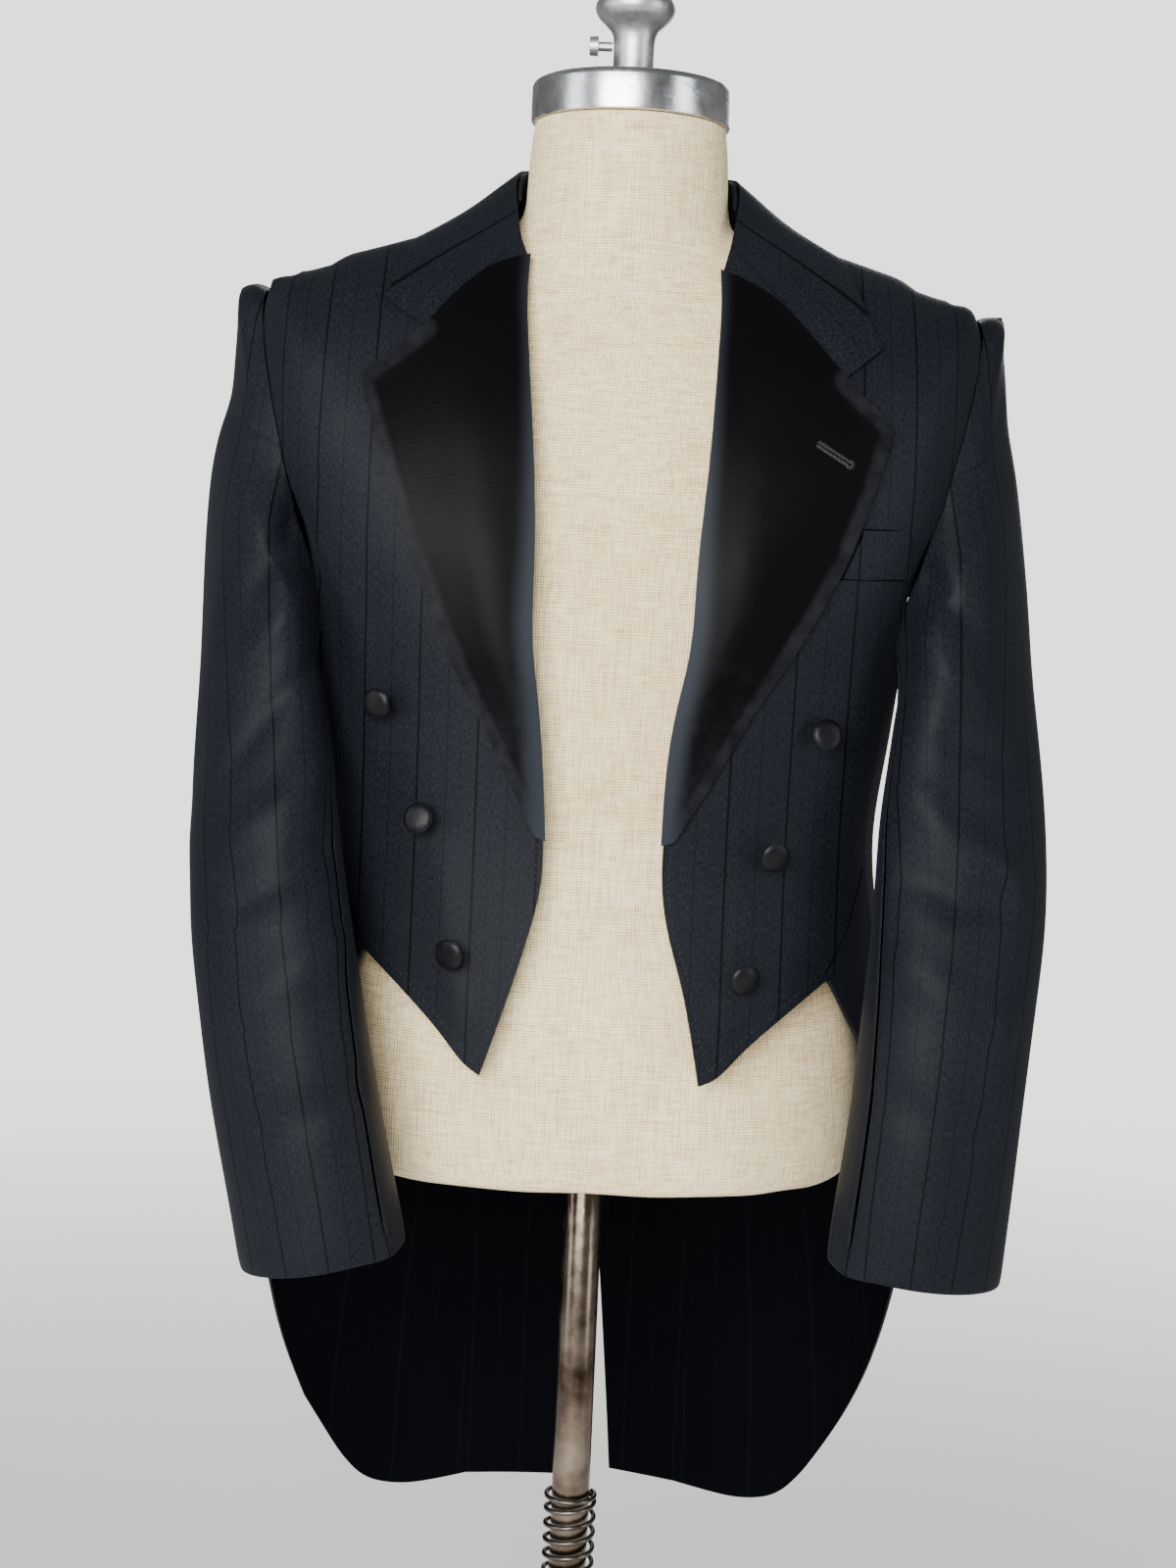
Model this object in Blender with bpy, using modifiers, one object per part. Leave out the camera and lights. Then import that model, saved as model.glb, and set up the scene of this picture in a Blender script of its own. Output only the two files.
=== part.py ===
"""White tie tailcoat worn by a limbless dress form on a pole stand.

Metres, +Z up. The coat faces -Y, its wearer's left is +X, and the origin is the centre of the
stand's foot on the floor. Every cloth panel is an open sheet given its thickness by Solidify.
"""
import math
from collections import namedtuple

import bmesh
import bpy
import numpy as np
from mathutils import Matrix, Vector

# Cloth and seams
WALL = 0.0020
SATIN_WALL = 0.0016
SEAM = 0.0005
HALF_SEAM = SEAM / 2
FIT = 0.0004          # gap between a piece and what carries it


def table(columns, *rows):
    """A table with named columns."""
    row_type = namedtuple("Row", columns)
    return tuple(row_type(*row) for row in rows)


# Coat body: closed rings from the neck out over the shoulders and down to the tails.
# half: half width. z_/y_ side, front, back: the ring's height and depth there. box: squareness.
RING_COLUMNS = "half y_side y_front y_back z_side z_front z_back box"
BODY_RINGS = table(
    RING_COLUMNS,
    (0.0740, 0.010, -0.066, 0.078, 1.4280, 1.372, 1.4350, 2.0),
    (0.1100, 0.008, -0.090, 0.094, 1.4150, 1.335, 1.4080, 2.1),
    (0.1600, 0.005, -0.112, 0.110, 1.3990, 1.285, 1.3620, 2.3),
    (0.2050, 0.002, -0.124, 0.119, 1.3850, 1.235, 1.3100, 2.5),
    (0.2280, 0.000, -0.131, 0.122, 1.3740, 1.190, 1.2600, 2.6),
    (0.2230, 0.000, -0.133, 0.122, 1.2800, 1.150, 1.2000, 2.6),
    (0.1930, 0.002, -0.133, 0.120, 1.1700, 1.115, 1.1400, 2.5),
    (0.1840, 0.004, -0.131, 0.114, 1.1000, 1.070, 1.0850, 2.4),
    (0.1780, 0.006, -0.129, 0.108, 1.0350, 1.025, 1.0350, 2.4),
    (0.1860, 0.008, -0.134, 0.112, 0.9720, 0.970, 0.9850, 2.4),
    (0.2000, 0.014, -0.142, 0.128, 0.8900, 0.890, 0.8950, 2.4),
    (0.2180, 0.030, -0.142, 0.148, 0.8000, 0.800, 0.8000, 2.4),
    (0.2340, 0.052, -0.142, 0.160, 0.7000, 0.700, 0.7000, 2.4),
    (0.2400, 0.066, -0.142, 0.168, 0.6000, 0.600, 0.6000, 2.4),
    (0.2420, 0.074, -0.142, 0.172, 0.5000, 0.500, 0.5000, 2.4),
)
WAIST_RING = 9.0
LAST_RING = len(BODY_RINGS) - 1.0
RIDGE_POWER = 2.2     # how sharply a ring's height falls away from the shoulder line

# Dress form: the same kind of rings, inside the coat
FORM_RINGS = table(
    RING_COLUMNS,
    (0.0615, 0.000, -0.0610, 0.0610, 1.4855, 1.4855, 1.4855, 2.0),
    (0.0645, 0.000, -0.0640, 0.0640, 1.4600, 1.4600, 1.4600, 2.0),
    (0.0655, 0.002, -0.0650, 0.0660, 1.4300, 1.4150, 1.4350, 2.0),
    (0.0720, 0.006, -0.0640, 0.0720, 1.4200, 1.3850, 1.4180, 2.0),
    (0.1000, 0.006, -0.0780, 0.0820, 1.4140, 1.3450, 1.3900, 2.1),
    (0.1500, 0.003, -0.0980, 0.0960, 1.3980, 1.2900, 1.3400, 2.3),
    (0.1900, 0.000, -0.1100, 0.1060, 1.3800, 1.2350, 1.2850, 2.4),
    (0.1950, 0.000, -0.1150, 0.1100, 1.3300, 1.1950, 1.2350, 2.5),
    (0.1850, 0.000, -0.1180, 0.1090, 1.2400, 1.1500, 1.1750, 2.5),
    (0.1760, 0.002, -0.1160, 0.1060, 1.1500, 1.1000, 1.1200, 2.4),
    (0.1700, 0.003, -0.1120, 0.0990, 1.0850, 1.0550, 1.0700, 2.4),
    (0.1660, 0.004, -0.1100, 0.0950, 1.0250, 1.0100, 1.0150, 2.4),
    (0.1720, 0.004, -0.1160, 0.1000, 0.9600, 0.9500, 0.9550, 2.4),
    (0.1790, 0.004, -0.1220, 0.1100, 0.8950, 0.8950, 0.8950, 2.4),
    (0.1790, 0.004, -0.1220, 0.1120, 0.8450, 0.8450, 0.8450, 2.4),
    (0.1750, 0.004, -0.1190, 0.1090, 0.8230, 0.8230, 0.8230, 2.4),
    (0.1690, 0.004, -0.1140, 0.1050, 0.8170, 0.8170, 0.8170, 2.4),
)

# Front panels. Each row is a place on the coat's front: x from the middle, z from the floor.
# The two sides hang a little differently, so each has its own column.
FRONT_EDGE = {        # roll line, waist and cutaway, top to point
    "right": ((0.0610, 1.3930), (0.0560, 1.3060), (0.0490, 1.2135), (0.0400, 1.0970), (0.0350, 1.0400),
              (0.0345, 1.0080), (0.0410, 0.9830), (0.0510, 0.9470), (0.0620, 0.9130), (0.0675, 0.8950)),
    "left": ((0.0615, 1.3880), (0.0600, 1.3110), (0.0535, 1.2180), (0.0430, 1.1180), (0.0385, 1.0400),
             (0.0380, 1.0100), (0.0430, 0.9850), (0.0520, 0.9600), (0.0600, 0.9250), (0.0660, 0.8940)),
}
LOWER_EDGE = {        # cutaway point up to the head of the tail
    "right": ((0.0720, 0.8950), (0.0940, 0.9210), (0.1190, 0.9440), (0.1430, 0.9640)),
    "left": ((0.0715, 0.8930), (0.0940, 0.9170), (0.1220, 0.9400), (0.1440, 0.9570)),
}
GORGE = {             # collar seam from the roll line to the notch
    "right": ((0.0610, 1.3930), (0.0770, 1.3880), (0.1040, 1.3640), (0.1190, 1.3440)),
    "left": ((0.0615, 1.3880), (0.0860, 1.3760), (0.1120, 1.3500), (0.1356, 1.3230)),
}
LAPEL_TIP = {"right": (0.1570, 1.3130), "left": (0.1650, 1.2935)}
COLLAR_TIP = {"right": (0.1466, 1.3620), "left": (0.1595, 1.3430)}
LAPEL_EDGE = {        # lapel's outer edge, tip to the foot of the roll
    "right": ((0.1550, 1.3000), (0.1416, 1.2690), (0.1220, 1.2115), (0.1045, 1.1700), (0.0880, 1.1350),
              (0.0630, 1.0890), (0.0480, 1.0600), (0.0400, 1.0430)),
    "left": ((0.1620, 1.2800), (0.1530, 1.2510), (0.1380, 1.2100), (0.1220, 1.1790), (0.1056, 1.1500),
             (0.0780, 1.1030), (0.0570, 1.0650), (0.0440, 1.0420)),
}

# Armhole on the body rings: angle round the body from the front, and ring number
ARMHOLE = table(
    "angle ring",
    (90.0, 3.95), (77.0, 4.25), (69.0, 4.62), (62.5, 5.05), (60.5, 5.52), (65.5, 6.00), (77.0, 6.22),
    (90.0, 6.28), (102.0, 6.18), (112.0, 5.85), (117.0, 5.35), (117.0, 4.85), (110.0, 4.40), (100.0, 4.08),
)
FRONT_UNDERARM = 5.35  # places round the armhole, counted in its rows, where the body seams start
BACK_UNDERARM = 9.15
SIDE_SEAM_WAIST = 70.0    # angles of the seams at the waist
BACK_SEAM_WAIST = 155.0

# Tails: front edge and hem on the body rings, from the waist seam down and round to the vent
TAIL_EDGE = ((51.5, 9.46), (58.5, 9.80), (70.0, 10.25), (83.5, 10.80), (98.0, 11.40), (109.5, 12.00),
             (116.0, 12.36), (121.5, 12.72), (128.0, 13.06), (137.0, 13.42))
TAIL_HEM = ((144.5, 13.66), (152.0, 13.73), (158.0, 13.71))
PLEAT = ((155.0, 9.0), (157.0, 10.0), (160.0, 11.0), (163.0, 12.0), (165.0, 13.65))
VENT = {"right": ((180.0, 9.3), (180.0, 10.3), (179.8, 11.3), (179.6, 12.4), (179.2, 13.64)),
        "left": ((180.0, 9.3), (179.7, 10.3), (179.0, 11.3), (177.4, 12.4), (175.5, 13.58))}

SLEEVE_GAP = 0.0012       # the sleeve stands off the armhole's edge, and further under the arm
UNDERARM_GAP = 0.0017
UNDERARM_LIFT = 0.0030    # how far out of the body's wall its foot starts
LIFT_SPREAD = 1.6         # how soon the lift is full, going down from the shoulder tip
LEAST_LIFT = 0.00001      # keeps the two walls' corners apart at the shoulder tip
SLEEVE_SEAM = 0.00080
ARMHOLE_DEEP = 0.0710
HEAD_POWER = 1.8          # how soon the sleeve head's fullness fades, from the shoulder's tip round the arm

# Sleeves, from the armhole down. out and in: the outline seen from the front, x from the middle and z.
# y: middle of the arm. deep: half depth. skew: how much the front edge turns in towards the body.
# own: 0 where the ring still has the armhole's shape, 1 where it has the arm's.
SLEEVE_COLUMNS = "out_x out_z in_x in_z y deep skew own"
SLEEVES = {
    "right": table(
        SLEEVE_COLUMNS,
        (0.2400, 1.3790, 0.1985, 1.1520, -0.002, 0.0730, 0.10, 0.00),
        (0.2470, 1.3640, 0.2000, 1.1480, -0.003, 0.0760, 0.10, 0.20),
        (0.2505, 1.3400, 0.1990, 1.1450, -0.006, 0.0780, 0.14, 0.55),
        (0.2530, 1.3060, 0.1955, 1.1420, -0.012, 0.0790, 0.22, 0.88),
        (0.2630, 1.2780, 0.1880, 1.1380, -0.019, 0.0780, 0.29, 1.00),
        (0.2655, 1.2280, 0.1800, 1.1280, -0.032, 0.0740, 0.36, 1.00),
        (0.2624, 1.1680, 0.1740, 1.1050, -0.047, 0.0690, 0.37, 1.00),
        (0.2600, 1.1050, 0.1670, 1.0680, -0.064, 0.0640, 0.36, 1.00),
        (0.2575, 1.0420, 0.1575, 1.0200, -0.094, 0.0600, 0.34, 1.00),
        (0.2500, 0.9790, 0.1465, 0.9700, -0.121, 0.0560, 0.30, 1.00),
        (0.2400, 0.9200, 0.1350, 0.9220, -0.135, 0.0530, 0.24, 1.00),
        (0.2270, 0.8620, 0.1240, 0.8700, -0.142, 0.0500, 0.18, 1.00),
        (0.2150, 0.8080, 0.1135, 0.8250, -0.145, 0.0470, 0.14, 1.00),
        (0.2071, 0.7720, 0.1065, 0.7940, -0.146, 0.0450, 0.12, 1.00),
    ),
    "left": table(
        SLEEVE_COLUMNS,
        (0.2400, 1.3790, 0.1985, 1.1520, -0.002, 0.0730, 0.10, 0.00),
        (0.2470, 1.3680, 0.2000, 1.1480, -0.003, 0.0760, 0.10, 0.20),
        (0.2515, 1.3430, 0.1990, 1.1450, -0.006, 0.0780, 0.14, 0.55),
        (0.2550, 1.3060, 0.1955, 1.1420, -0.012, 0.0790, 0.22, 0.88),
        (0.2630, 1.2740, 0.1895, 1.1380, -0.019, 0.0780, 0.28, 1.00),
        (0.2700, 1.2180, 0.1835, 1.1280, -0.032, 0.0740, 0.35, 1.00),
        (0.2750, 1.1500, 0.1790, 1.1050, -0.047, 0.0690, 0.36, 1.00),
        (0.2785, 1.0900, 0.1740, 1.0640, -0.064, 0.0640, 0.35, 1.00),
        (0.2812, 1.0320, 0.1700, 1.0200, -0.084, 0.0600, 0.33, 1.00),
        (0.2790, 0.9790, 0.1665, 0.9700, -0.103, 0.0560, 0.28, 1.00),
        (0.2710, 0.9240, 0.1635, 0.9180, -0.116, 0.0530, 0.22, 1.00),
        (0.2655, 0.8700, 0.1590, 0.8660, -0.122, 0.0500, 0.17, 1.00),
        (0.2610, 0.8180, 0.1530, 0.8200, -0.124, 0.0470, 0.13, 1.00),
        (0.2584, 0.7750, 0.1495, 0.7870, -0.124, 0.0450, 0.11, 1.00),
    ),
}
TOP_SLEEVE_SEAMS = (-140.0, 124.0)   # front and hind seam of the two-piece sleeve, in degrees
# Main drag folds. down: how far along the sleeve, 0 to 1. turn: degrees round it. slope: how much it
# runs down for each quarter turn. wide and rise: its half width along the sleeve and its height.
FOLD_COLUMNS = "down turn slope wide rise"
SLEEVE_FOLDS = {
    "right": table(
        FOLD_COLUMNS,
        (0.15, -20.0, 0.10, 0.020, -0.0030), (0.33, -100.0, -0.16, 0.026, -0.0050),
        (0.41, -60.0, 0.14, 0.026, 0.0040), (0.52, -95.0, 0.14, 0.028, -0.0050),
        (0.60, -40.0, 0.14, 0.030, 0.0035), (0.48, 60.0, -0.14, 0.034, 0.0040),
        (0.56, 80.0, -0.12, 0.028, -0.0035),
    ),
    "left": table(
        FOLD_COLUMNS,
        (0.17, -25.0, -0.10, 0.020, -0.0025), (0.34, -100.0, 0.12, 0.028, -0.0045),
        (0.50, -90.0, -0.14, 0.028, 0.0040), (0.58, -60.0, -0.16, 0.030, -0.0050),
        (0.66, -30.0, -0.12, 0.030, 0.0040), (0.46, 65.0, 0.14, 0.034, 0.0040),
        (0.54, 80.0, 0.12, 0.028, -0.0035),
    ),
}

# Collar, from the middle of the back to the gorge. crease: the top fold. edge: the leaf's outer edge.
COLLAR_BACK = table(
    "crease_x crease_y crease_z edge_angle edge_ring",
    (0.0000, 0.0760, 1.4660, 180.0, 0.62),
    (0.0290, 0.0705, 1.4655, 162.0, 0.64),
    (0.0530, 0.0520, 1.4635, 142.0, 0.70),
    (0.0680, 0.0260, 1.4590, 120.0, 0.88),
    (0.0712, 0.0020, 1.4520, 101.0, 1.14),
    (0.0705, -0.0200, 1.4350, 87.0, 1.34),
)
COLLAR_EDGE = {       # outer edge on the front, from the shoulder to the tip
    "right": ((0.1375, 1.3860), (0.1466, 1.3620)),
    "left": ((0.1450, 1.3760), (0.1595, 1.3430)),
}

# Buttons: place on the front, and how far each has tipped, round the upright and round the level
BUTTON_R = 0.0102
BUTTON_DEEP = 0.0050
SHANK_R = 0.0018
SHANK = 0.0088
TIPPED = 0.0006           # room that a tipped shank needs
FRONT_BUTTONS = {     # turn: degrees towards +x. nod: degrees down.
    "right": table("x z turn nod", (0.1330, 1.1180, -30.0, 8.0), (0.1070, 1.0460, -18.0, -14.0),
                   (0.0830, 0.9690, -28.0, 8.0)),
    "left": table("x z turn nod", (0.1310, 1.1070, 16.0, -14.0), (0.1020, 1.0370, 22.0, 18.0),
                  (0.0860, 0.9620, 26.0, 12.0)),
}
SMALL_BUTTON_R = 0.0072
CUFF_BUTTON_DOWN = (0.868, 0.893)
CUFF_BUTTON_LIFT = 0.0005   # their seat, from the sleeve's smooth middle surface
BACK_BUTTON = (151.5, 8.72)

# Breast welt on the wearer's left: lower and upper edge, from the lapel out
WELT_LOW = ((0.1385, 1.2040), (0.1600, 1.2045), (0.1800, 1.2055))
WELT_HIGH = ((0.1500, 1.2320), (0.1650, 1.2330), (0.1770, 1.2345))

# Stand
RING_R = 0.0640
RING_LOW = 0.0004
RING_HIGH = 0.0265
POLE_R = 0.0127
COLUMN_R = 0.0200
COLUMN_TOP = 0.455
SPRING_TOP = 0.594
SPRING_WIRE_R = 0.0016
SPRING_R = 0.0163
SPRING_PITCH = 0.0106
FOOT_R = 0.200
FORM_TOP = FORM_RINGS[0][4]
FORM_BOTTOM = FORM_RINGS[-1][4]

SIDES = {"right": -1.0, "left": 1.0}
MATERIALS = {
    "suiting": ((0.016, 0.019, 0.027, 1), 0.78, 0.0),
    "satin": ((0.012, 0.011, 0.012, 1), 0.34, 0.0),
    "linen": ((0.78, 0.70, 0.55, 1), 0.88, 0.0),
    "neck_metal": ((0.62, 0.63, 0.64, 1), 0.26, 1.0),
    "pole_steel": ((0.33, 0.29, 0.26, 1), 0.30, 1.0),
    "spring_steel": ((0.12, 0.11, 0.10, 1), 0.38, 1.0),
    "foot_iron": ((0.035, 0.035, 0.037, 1), 0.52, 0.0),
}

for ob in list(bpy.data.objects):
    bpy.data.objects.remove(ob, do_unlink=True)
parts = bpy.data.collections.new("tailcoat")
bpy.context.scene.collection.children.link(parts)


def material(name):
    found = bpy.data.materials.get(name)
    if found:
        return found
    made = bpy.data.materials.new(name)
    made.use_nodes = True
    shader = made.node_tree.nodes["Principled BSDF"]
    color, rough, metal = MATERIALS[name]
    shader.inputs["Base Color"].default_value = color
    shader.inputs["Roughness"].default_value = rough
    shader.inputs["Metallic"].default_value = metal
    return made


def smooth_row(rows, t):
    """A smooth curve through the rows of a table, at place t counted in rows."""
    last = len(rows) - 1
    t = min(max(t, 0.0), float(last))
    i = min(int(t), last - 1)
    f = t - i
    before, a, b, after = (np.array(rows[min(max(j, 0), last)], float) for j in (i - 1, i, i + 1, i + 2))
    return 0.5 * (2 * a + (b - before) * f + (2 * before - 5 * a + 4 * b - after) * f * f
                  + (3 * a - before - 3 * b + after) * f ** 3)


def even_curve(rows, place=None):
    """The same curve as a function of 0 to 1 along its length, measured on the places of its rows."""
    marks = np.array([smooth_row(rows, s) for s in np.linspace(0, len(rows) - 1, 12 * len(rows))])
    places = marks if place is None else np.array([place(*mark) for mark in marks])
    steps = np.linalg.norm(np.diff(places, axis=0), axis=1)
    along = np.concatenate(([0.0], np.cumsum(steps)))
    return lambda t: np.array([np.interp(t * along[-1], along, column) for column in marks.T])


def ring_point(rings, angle, ring):
    """A point of the body: angle in degrees from the front, positive to the wearer's left."""
    half, y_side, y_front, y_back, z_side, z_front, z_back, box = smooth_row(rings, ring)
    s, c = math.sin(math.radians(angle)), math.cos(math.radians(angle))
    y_end, z_end = (y_front, z_front) if c > 0 else (y_back, z_back)
    x = half * math.copysign(abs(s) ** (2 / box), s)
    y = y_side + (y_end - y_side) * abs(c) ** (2 / box)
    z = z_side + (z_end - z_side) * abs(c) ** RIDGE_POWER
    return Vector((x, y, z))


def coat_point(angle, ring, lift=0.0):
    """A point of the coat's cloth, or one lifted off it along its outward normal."""
    p = ring_point(BODY_RINGS, angle, ring)
    if lift == 0.0:
        return p
    da, dr = 0.8, 0.02
    round_way = ring_point(BODY_RINGS, angle + da, ring) - ring_point(BODY_RINGS, angle - da, ring)
    low, high = max(ring - dr, 0.0), min(ring + dr, LAST_RING)
    down_way = ring_point(BODY_RINGS, angle, high) - ring_point(BODY_RINGS, angle, low)
    normal = down_way.cross(round_way).normalized()
    return p + normal * lift


def on_front(x, z):
    """Angle and ring of the place on the coat's front at x and z, x positive."""
    low, high = 0.0, WAIST_RING + 2.0
    for _ in range(46):
        ring = (low + high) / 2
        half, _, _, _, z_side, z_front, _, box = smooth_row(BODY_RINGS, ring)
        if x >= half and ring < 4:
            low = ring
            continue
        s = min(x / half, 1.0) ** (box / 2)
        c = math.sqrt(max(0.0, 1 - s * s))
        z_here = z_side + (z_front - z_side) * c ** RIDGE_POWER
        if z_here > z:
            low = ring
        else:
            high = ring
    return math.degrees(math.asin(s)), ring


def front_rows(places):
    return tuple(on_front(x, z) for x, z in places)


def sheet(name, grid, mat, wall=WALL, flip=False):
    """A panel: a grid of points joined by quads, given its wall by Solidify on both sides."""
    rows, cols = len(grid), len(grid[0])
    mesh = bpy.data.meshes.new(name)
    points = [tuple(p) for row in grid for p in row]
    faces = []
    for i in range(rows - 1):
        for j in range(cols - 1):
            a = i * cols + j
            quad = (a, a + 1, a + cols + 1, a + cols)
            faces.append(quad[::-1] if flip else quad)
    mesh.from_pydata(points, [], faces)
    mesh.shade_smooth()
    ob = bpy.data.objects.new(name, mesh)
    parts.objects.link(ob)
    mesh.materials.append(material(mat))
    solid = ob.modifiers.new("wall", "SOLIDIFY")
    solid.thickness = wall
    solid.offset = 0.0
    solid.use_even_offset = False
    return ob


def patch(top, bottom, left, right, cols, rows):
    """Angle and ring grid between four edge curves, each a function of 0 to 1."""
    grid = []
    for i in range(rows + 1):
        v = i / rows
        line = []
        for j in range(cols + 1):
            u = j / cols
            across = (1 - v) * top(u) + v * bottom(u) + (1 - u) * left(v) + u * right(v)
            corners = ((1 - u) * (1 - v) * top(0) + u * (1 - v) * top(1)
                       + (1 - u) * v * bottom(0) + u * v * bottom(1))
            line.append(across - corners)
        grid.append(line)
    return grid


def curve(rows):
    """A curve on the coat through rows of angle and ring."""
    return even_curve(rows, coat_point)


def closed_row(rows, t):
    """A smooth closed curve through the rows."""
    n = len(rows)
    i = int(t) % n
    f = t - int(t)
    before, a, b, after = (np.array(rows[j % n], float) for j in (i - 1, i, i + 1, i + 2))
    return 0.5 * (2 * a + (b - before) * f + (2 * before - 5 * a + 4 * b - after) * f * f
                  + (3 * a - before - 3 * b + after) * f ** 3)


def join(first, second, share):
    """Two curves end to end, the first taking that share of 0 to 1."""
    return lambda t: first(t / share) if t <= share else second((t - share) / (1 - share))


def straight(a, b):
    a, b = np.array(a, float), np.array(b, float)
    return lambda t: a + (b - a) * t


def armhole(start, end):
    return lambda t: closed_row(ARMHOLE, (start + (end - start) * t) % len(ARMHOLE))


def mirrored(grid, side):
    return [[Vector((p.x * SIDES[side], p.y, p.z)) for p in row] for row in grid]


def trim(grid, left=0.0, right=0.0, top=0.0, bottom=0.0):
    """Draws the borders of a grid of points in by these widths, to leave the seams' gaps."""
    for row in grid:
        row[0] = row[0] + (row[1] - row[0]).normalized() * left
        row[-1] = row[-1] + (row[-2] - row[-1]).normalized() * right
    for j in range(len(grid[0])):
        grid[0][j] = grid[0][j] + (grid[1][j] - grid[0][j]).normalized() * top
        grid[-1][j] = grid[-1][j] + (grid[-2][j] - grid[-1][j]).normalized() * bottom
    return grid


def lifted(rows, lift=0.0):
    return [[coat_point(a, r, lift) for a, r in row] for row in rows]


# Seams that the panels share
SHOULDER_AT = -0.8
NECK = (97.0, 0.0)
NECK_SIDE = (68.0, 0.16)
tip = tuple(closed_row(ARMHOLE, SHOULDER_AT % len(ARMHOLE)))
front_top = tuple(closed_row(ARMHOLE, FRONT_UNDERARM))
back_top = tuple(closed_row(ARMHOLE, BACK_UNDERARM))
shoulder_seam = straight(NECK, tip)
side_seam = curve((front_top, (66.5, 7.2), (SIDE_SEAM_WAIST, WAIST_RING)))
back_seam = curve((back_top, (124.0, 6.7), (143.0, 7.9), (BACK_SEAM_WAIST, WAIST_RING)))
centre_back = straight((180.0, 0.0), (180.0, WAIST_RING))


def tail_head(side):
    return on_front(*LOWER_EDGE[side][-1])


def front_panel(side):
    """Forepart: roll line, cutaway and point in front, armhole and underarm seam behind."""
    cols, rows = 12, 20
    roll = front_rows(FRONT_EDGE[side])
    lower = front_rows(LOWER_EDGE[side])
    waist = straight(lower[-1], (SIDE_SEAM_WAIST, WAIST_RING))
    inner = curve((NECK, NECK_SIDE) + roll)
    bottom = join(curve((roll[-1],) + lower), waist, 8 / cols)
    behind = join(armhole(SHOULDER_AT, FRONT_UNDERARM), side_seam, 10 / rows)
    grid = lifted(patch(shoulder_seam, bottom, inner, behind, cols, rows))
    trim(grid, right=HALF_SEAM, top=HALF_SEAM, bottom=HALF_SEAM)
    sheet("front_" + side, mirrored(grid, side), "suiting", flip=side == "left")


def side_panel(side):
    """Side body under the arm, from the armhole to the waist seam."""
    cols, rows = 7, 10
    top = armhole(FRONT_UNDERARM, BACK_UNDERARM)
    bottom = straight((SIDE_SEAM_WAIST, WAIST_RING), (BACK_SEAM_WAIST, WAIST_RING))
    grid = lifted(patch(top, bottom, side_seam, back_seam, cols, rows))
    trim(grid, HALF_SEAM, HALF_SEAM, HALF_SEAM, HALF_SEAM)
    sheet("side_" + side, mirrored(grid, side), "suiting", flip=side == "left")


def back_panel(side):
    """Back, cut in one with the strip that runs down beside the vent to the hem."""
    cols, rows, strip_rows = 9, 16, 11
    top = join(straight((180.0, 0.0), NECK), shoulder_seam, 3 / cols)
    waist = straight((180.0, WAIST_RING), (BACK_SEAM_WAIST, WAIST_RING))
    behind = join(armhole(len(ARMHOLE) + SHOULDER_AT, BACK_UNDERARM), back_seam, 6 / rows)
    upper = patch(top, waist, centre_back, behind, cols, rows)
    vent = curve(((180.0, WAIST_RING),) + VENT[side])
    pleat = curve(PLEAT)
    hem = straight(VENT[side][-1], PLEAT[-1])
    strip = patch(waist, hem, vent, pleat, cols, strip_rows)
    grid = lifted(upper + strip[1:])
    trim(grid, left=HALF_SEAM, right=HALF_SEAM, top=HALF_SEAM)
    sheet("back_" + side, mirrored(grid, side), "suiting", flip=side == "right")


def tail_panel(side):
    """Skirt of the tail: waist seam, swept front edge, rounded corner and hem, pleat to the back."""
    cols, rows = 11, 11
    head = tail_head(side)
    corner = (SIDE_SEAM_WAIST, WAIST_RING)
    top = join(straight(head, corner), straight(corner, (BACK_SEAM_WAIST, WAIST_RING)), 4 / cols)
    grid = lifted(patch(top, curve((TAIL_EDGE[-1],) + TAIL_HEM + (PLEAT[-1],)),
                        curve((head,) + TAIL_EDGE), curve(PLEAT), cols, rows))
    trim(grid, right=HALF_SEAM, top=HALF_SEAM)
    sheet("tail_" + side, mirrored(grid, side), "suiting", flip=side == "left")


# Lapels
ROLL_ROWS = 5
ROLL_BULGE = 0.030
LAPEL_LAY = 0.0042
ROLL_OVER = 0.0022      # how far the lapel's fold reaches past the forepart's edge


def lapel(side):
    """Satin lapel, turned over the forepart along the roll line."""
    cols, rows = 7, 13
    gorge = front_rows(GORGE[side])
    point = on_front(*LAPEL_TIP[side])
    edge = front_rows((LAPEL_TIP[side],) + LAPEL_EDGE[side])
    roll = front_rows(FRONT_EDGE[side][:ROLL_ROWS])
    top = join(curve(gorge), straight(gorge[-1], point), 4 / cols)
    bottom = straight(roll[-1], edge[-1])
    rows_of = patch(top, bottom, curve(roll), curve(edge), cols, rows)
    grid = []
    for i, row in enumerate(rows_of):
        swell = math.sin(math.pi * min(1.0, 0.25 + 0.75 * i / rows)) ** 0.7 if i < rows else 0.0
        line = []
        for j, (a, r) in enumerate(row):
            u = j / cols
            line.append(coat_point(a, r, LAPEL_LAY + ROLL_BULGE * swell * u * (1 - u) ** 3))
        grid.append(line)
    trim(grid, left=-ROLL_OVER, top=HALF_SEAM)
    sheet("lapel_" + side, mirrored(grid, side), "satin", SATIN_WALL, flip=side == "left")


# Collar
COLLAR_LAY = 0.0035
COLLAR_ROOT = (72.0, 0.05)                     # on the coat under the crease, at the side of the neck
CREASE_SIDE = Vector((0.0665, -0.0440, 1.4100))


def bow(a, b, rise, t):
    """A point between a and b on a curve that swells by rise, away from the neck and up."""
    away = Vector((a.x, a.y, 0)).normalized() * 0.6 + Vector((0, 0, 0.8))
    return a.lerp(b, t) + away * rise * 4 * t * (1 - t)


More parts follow.
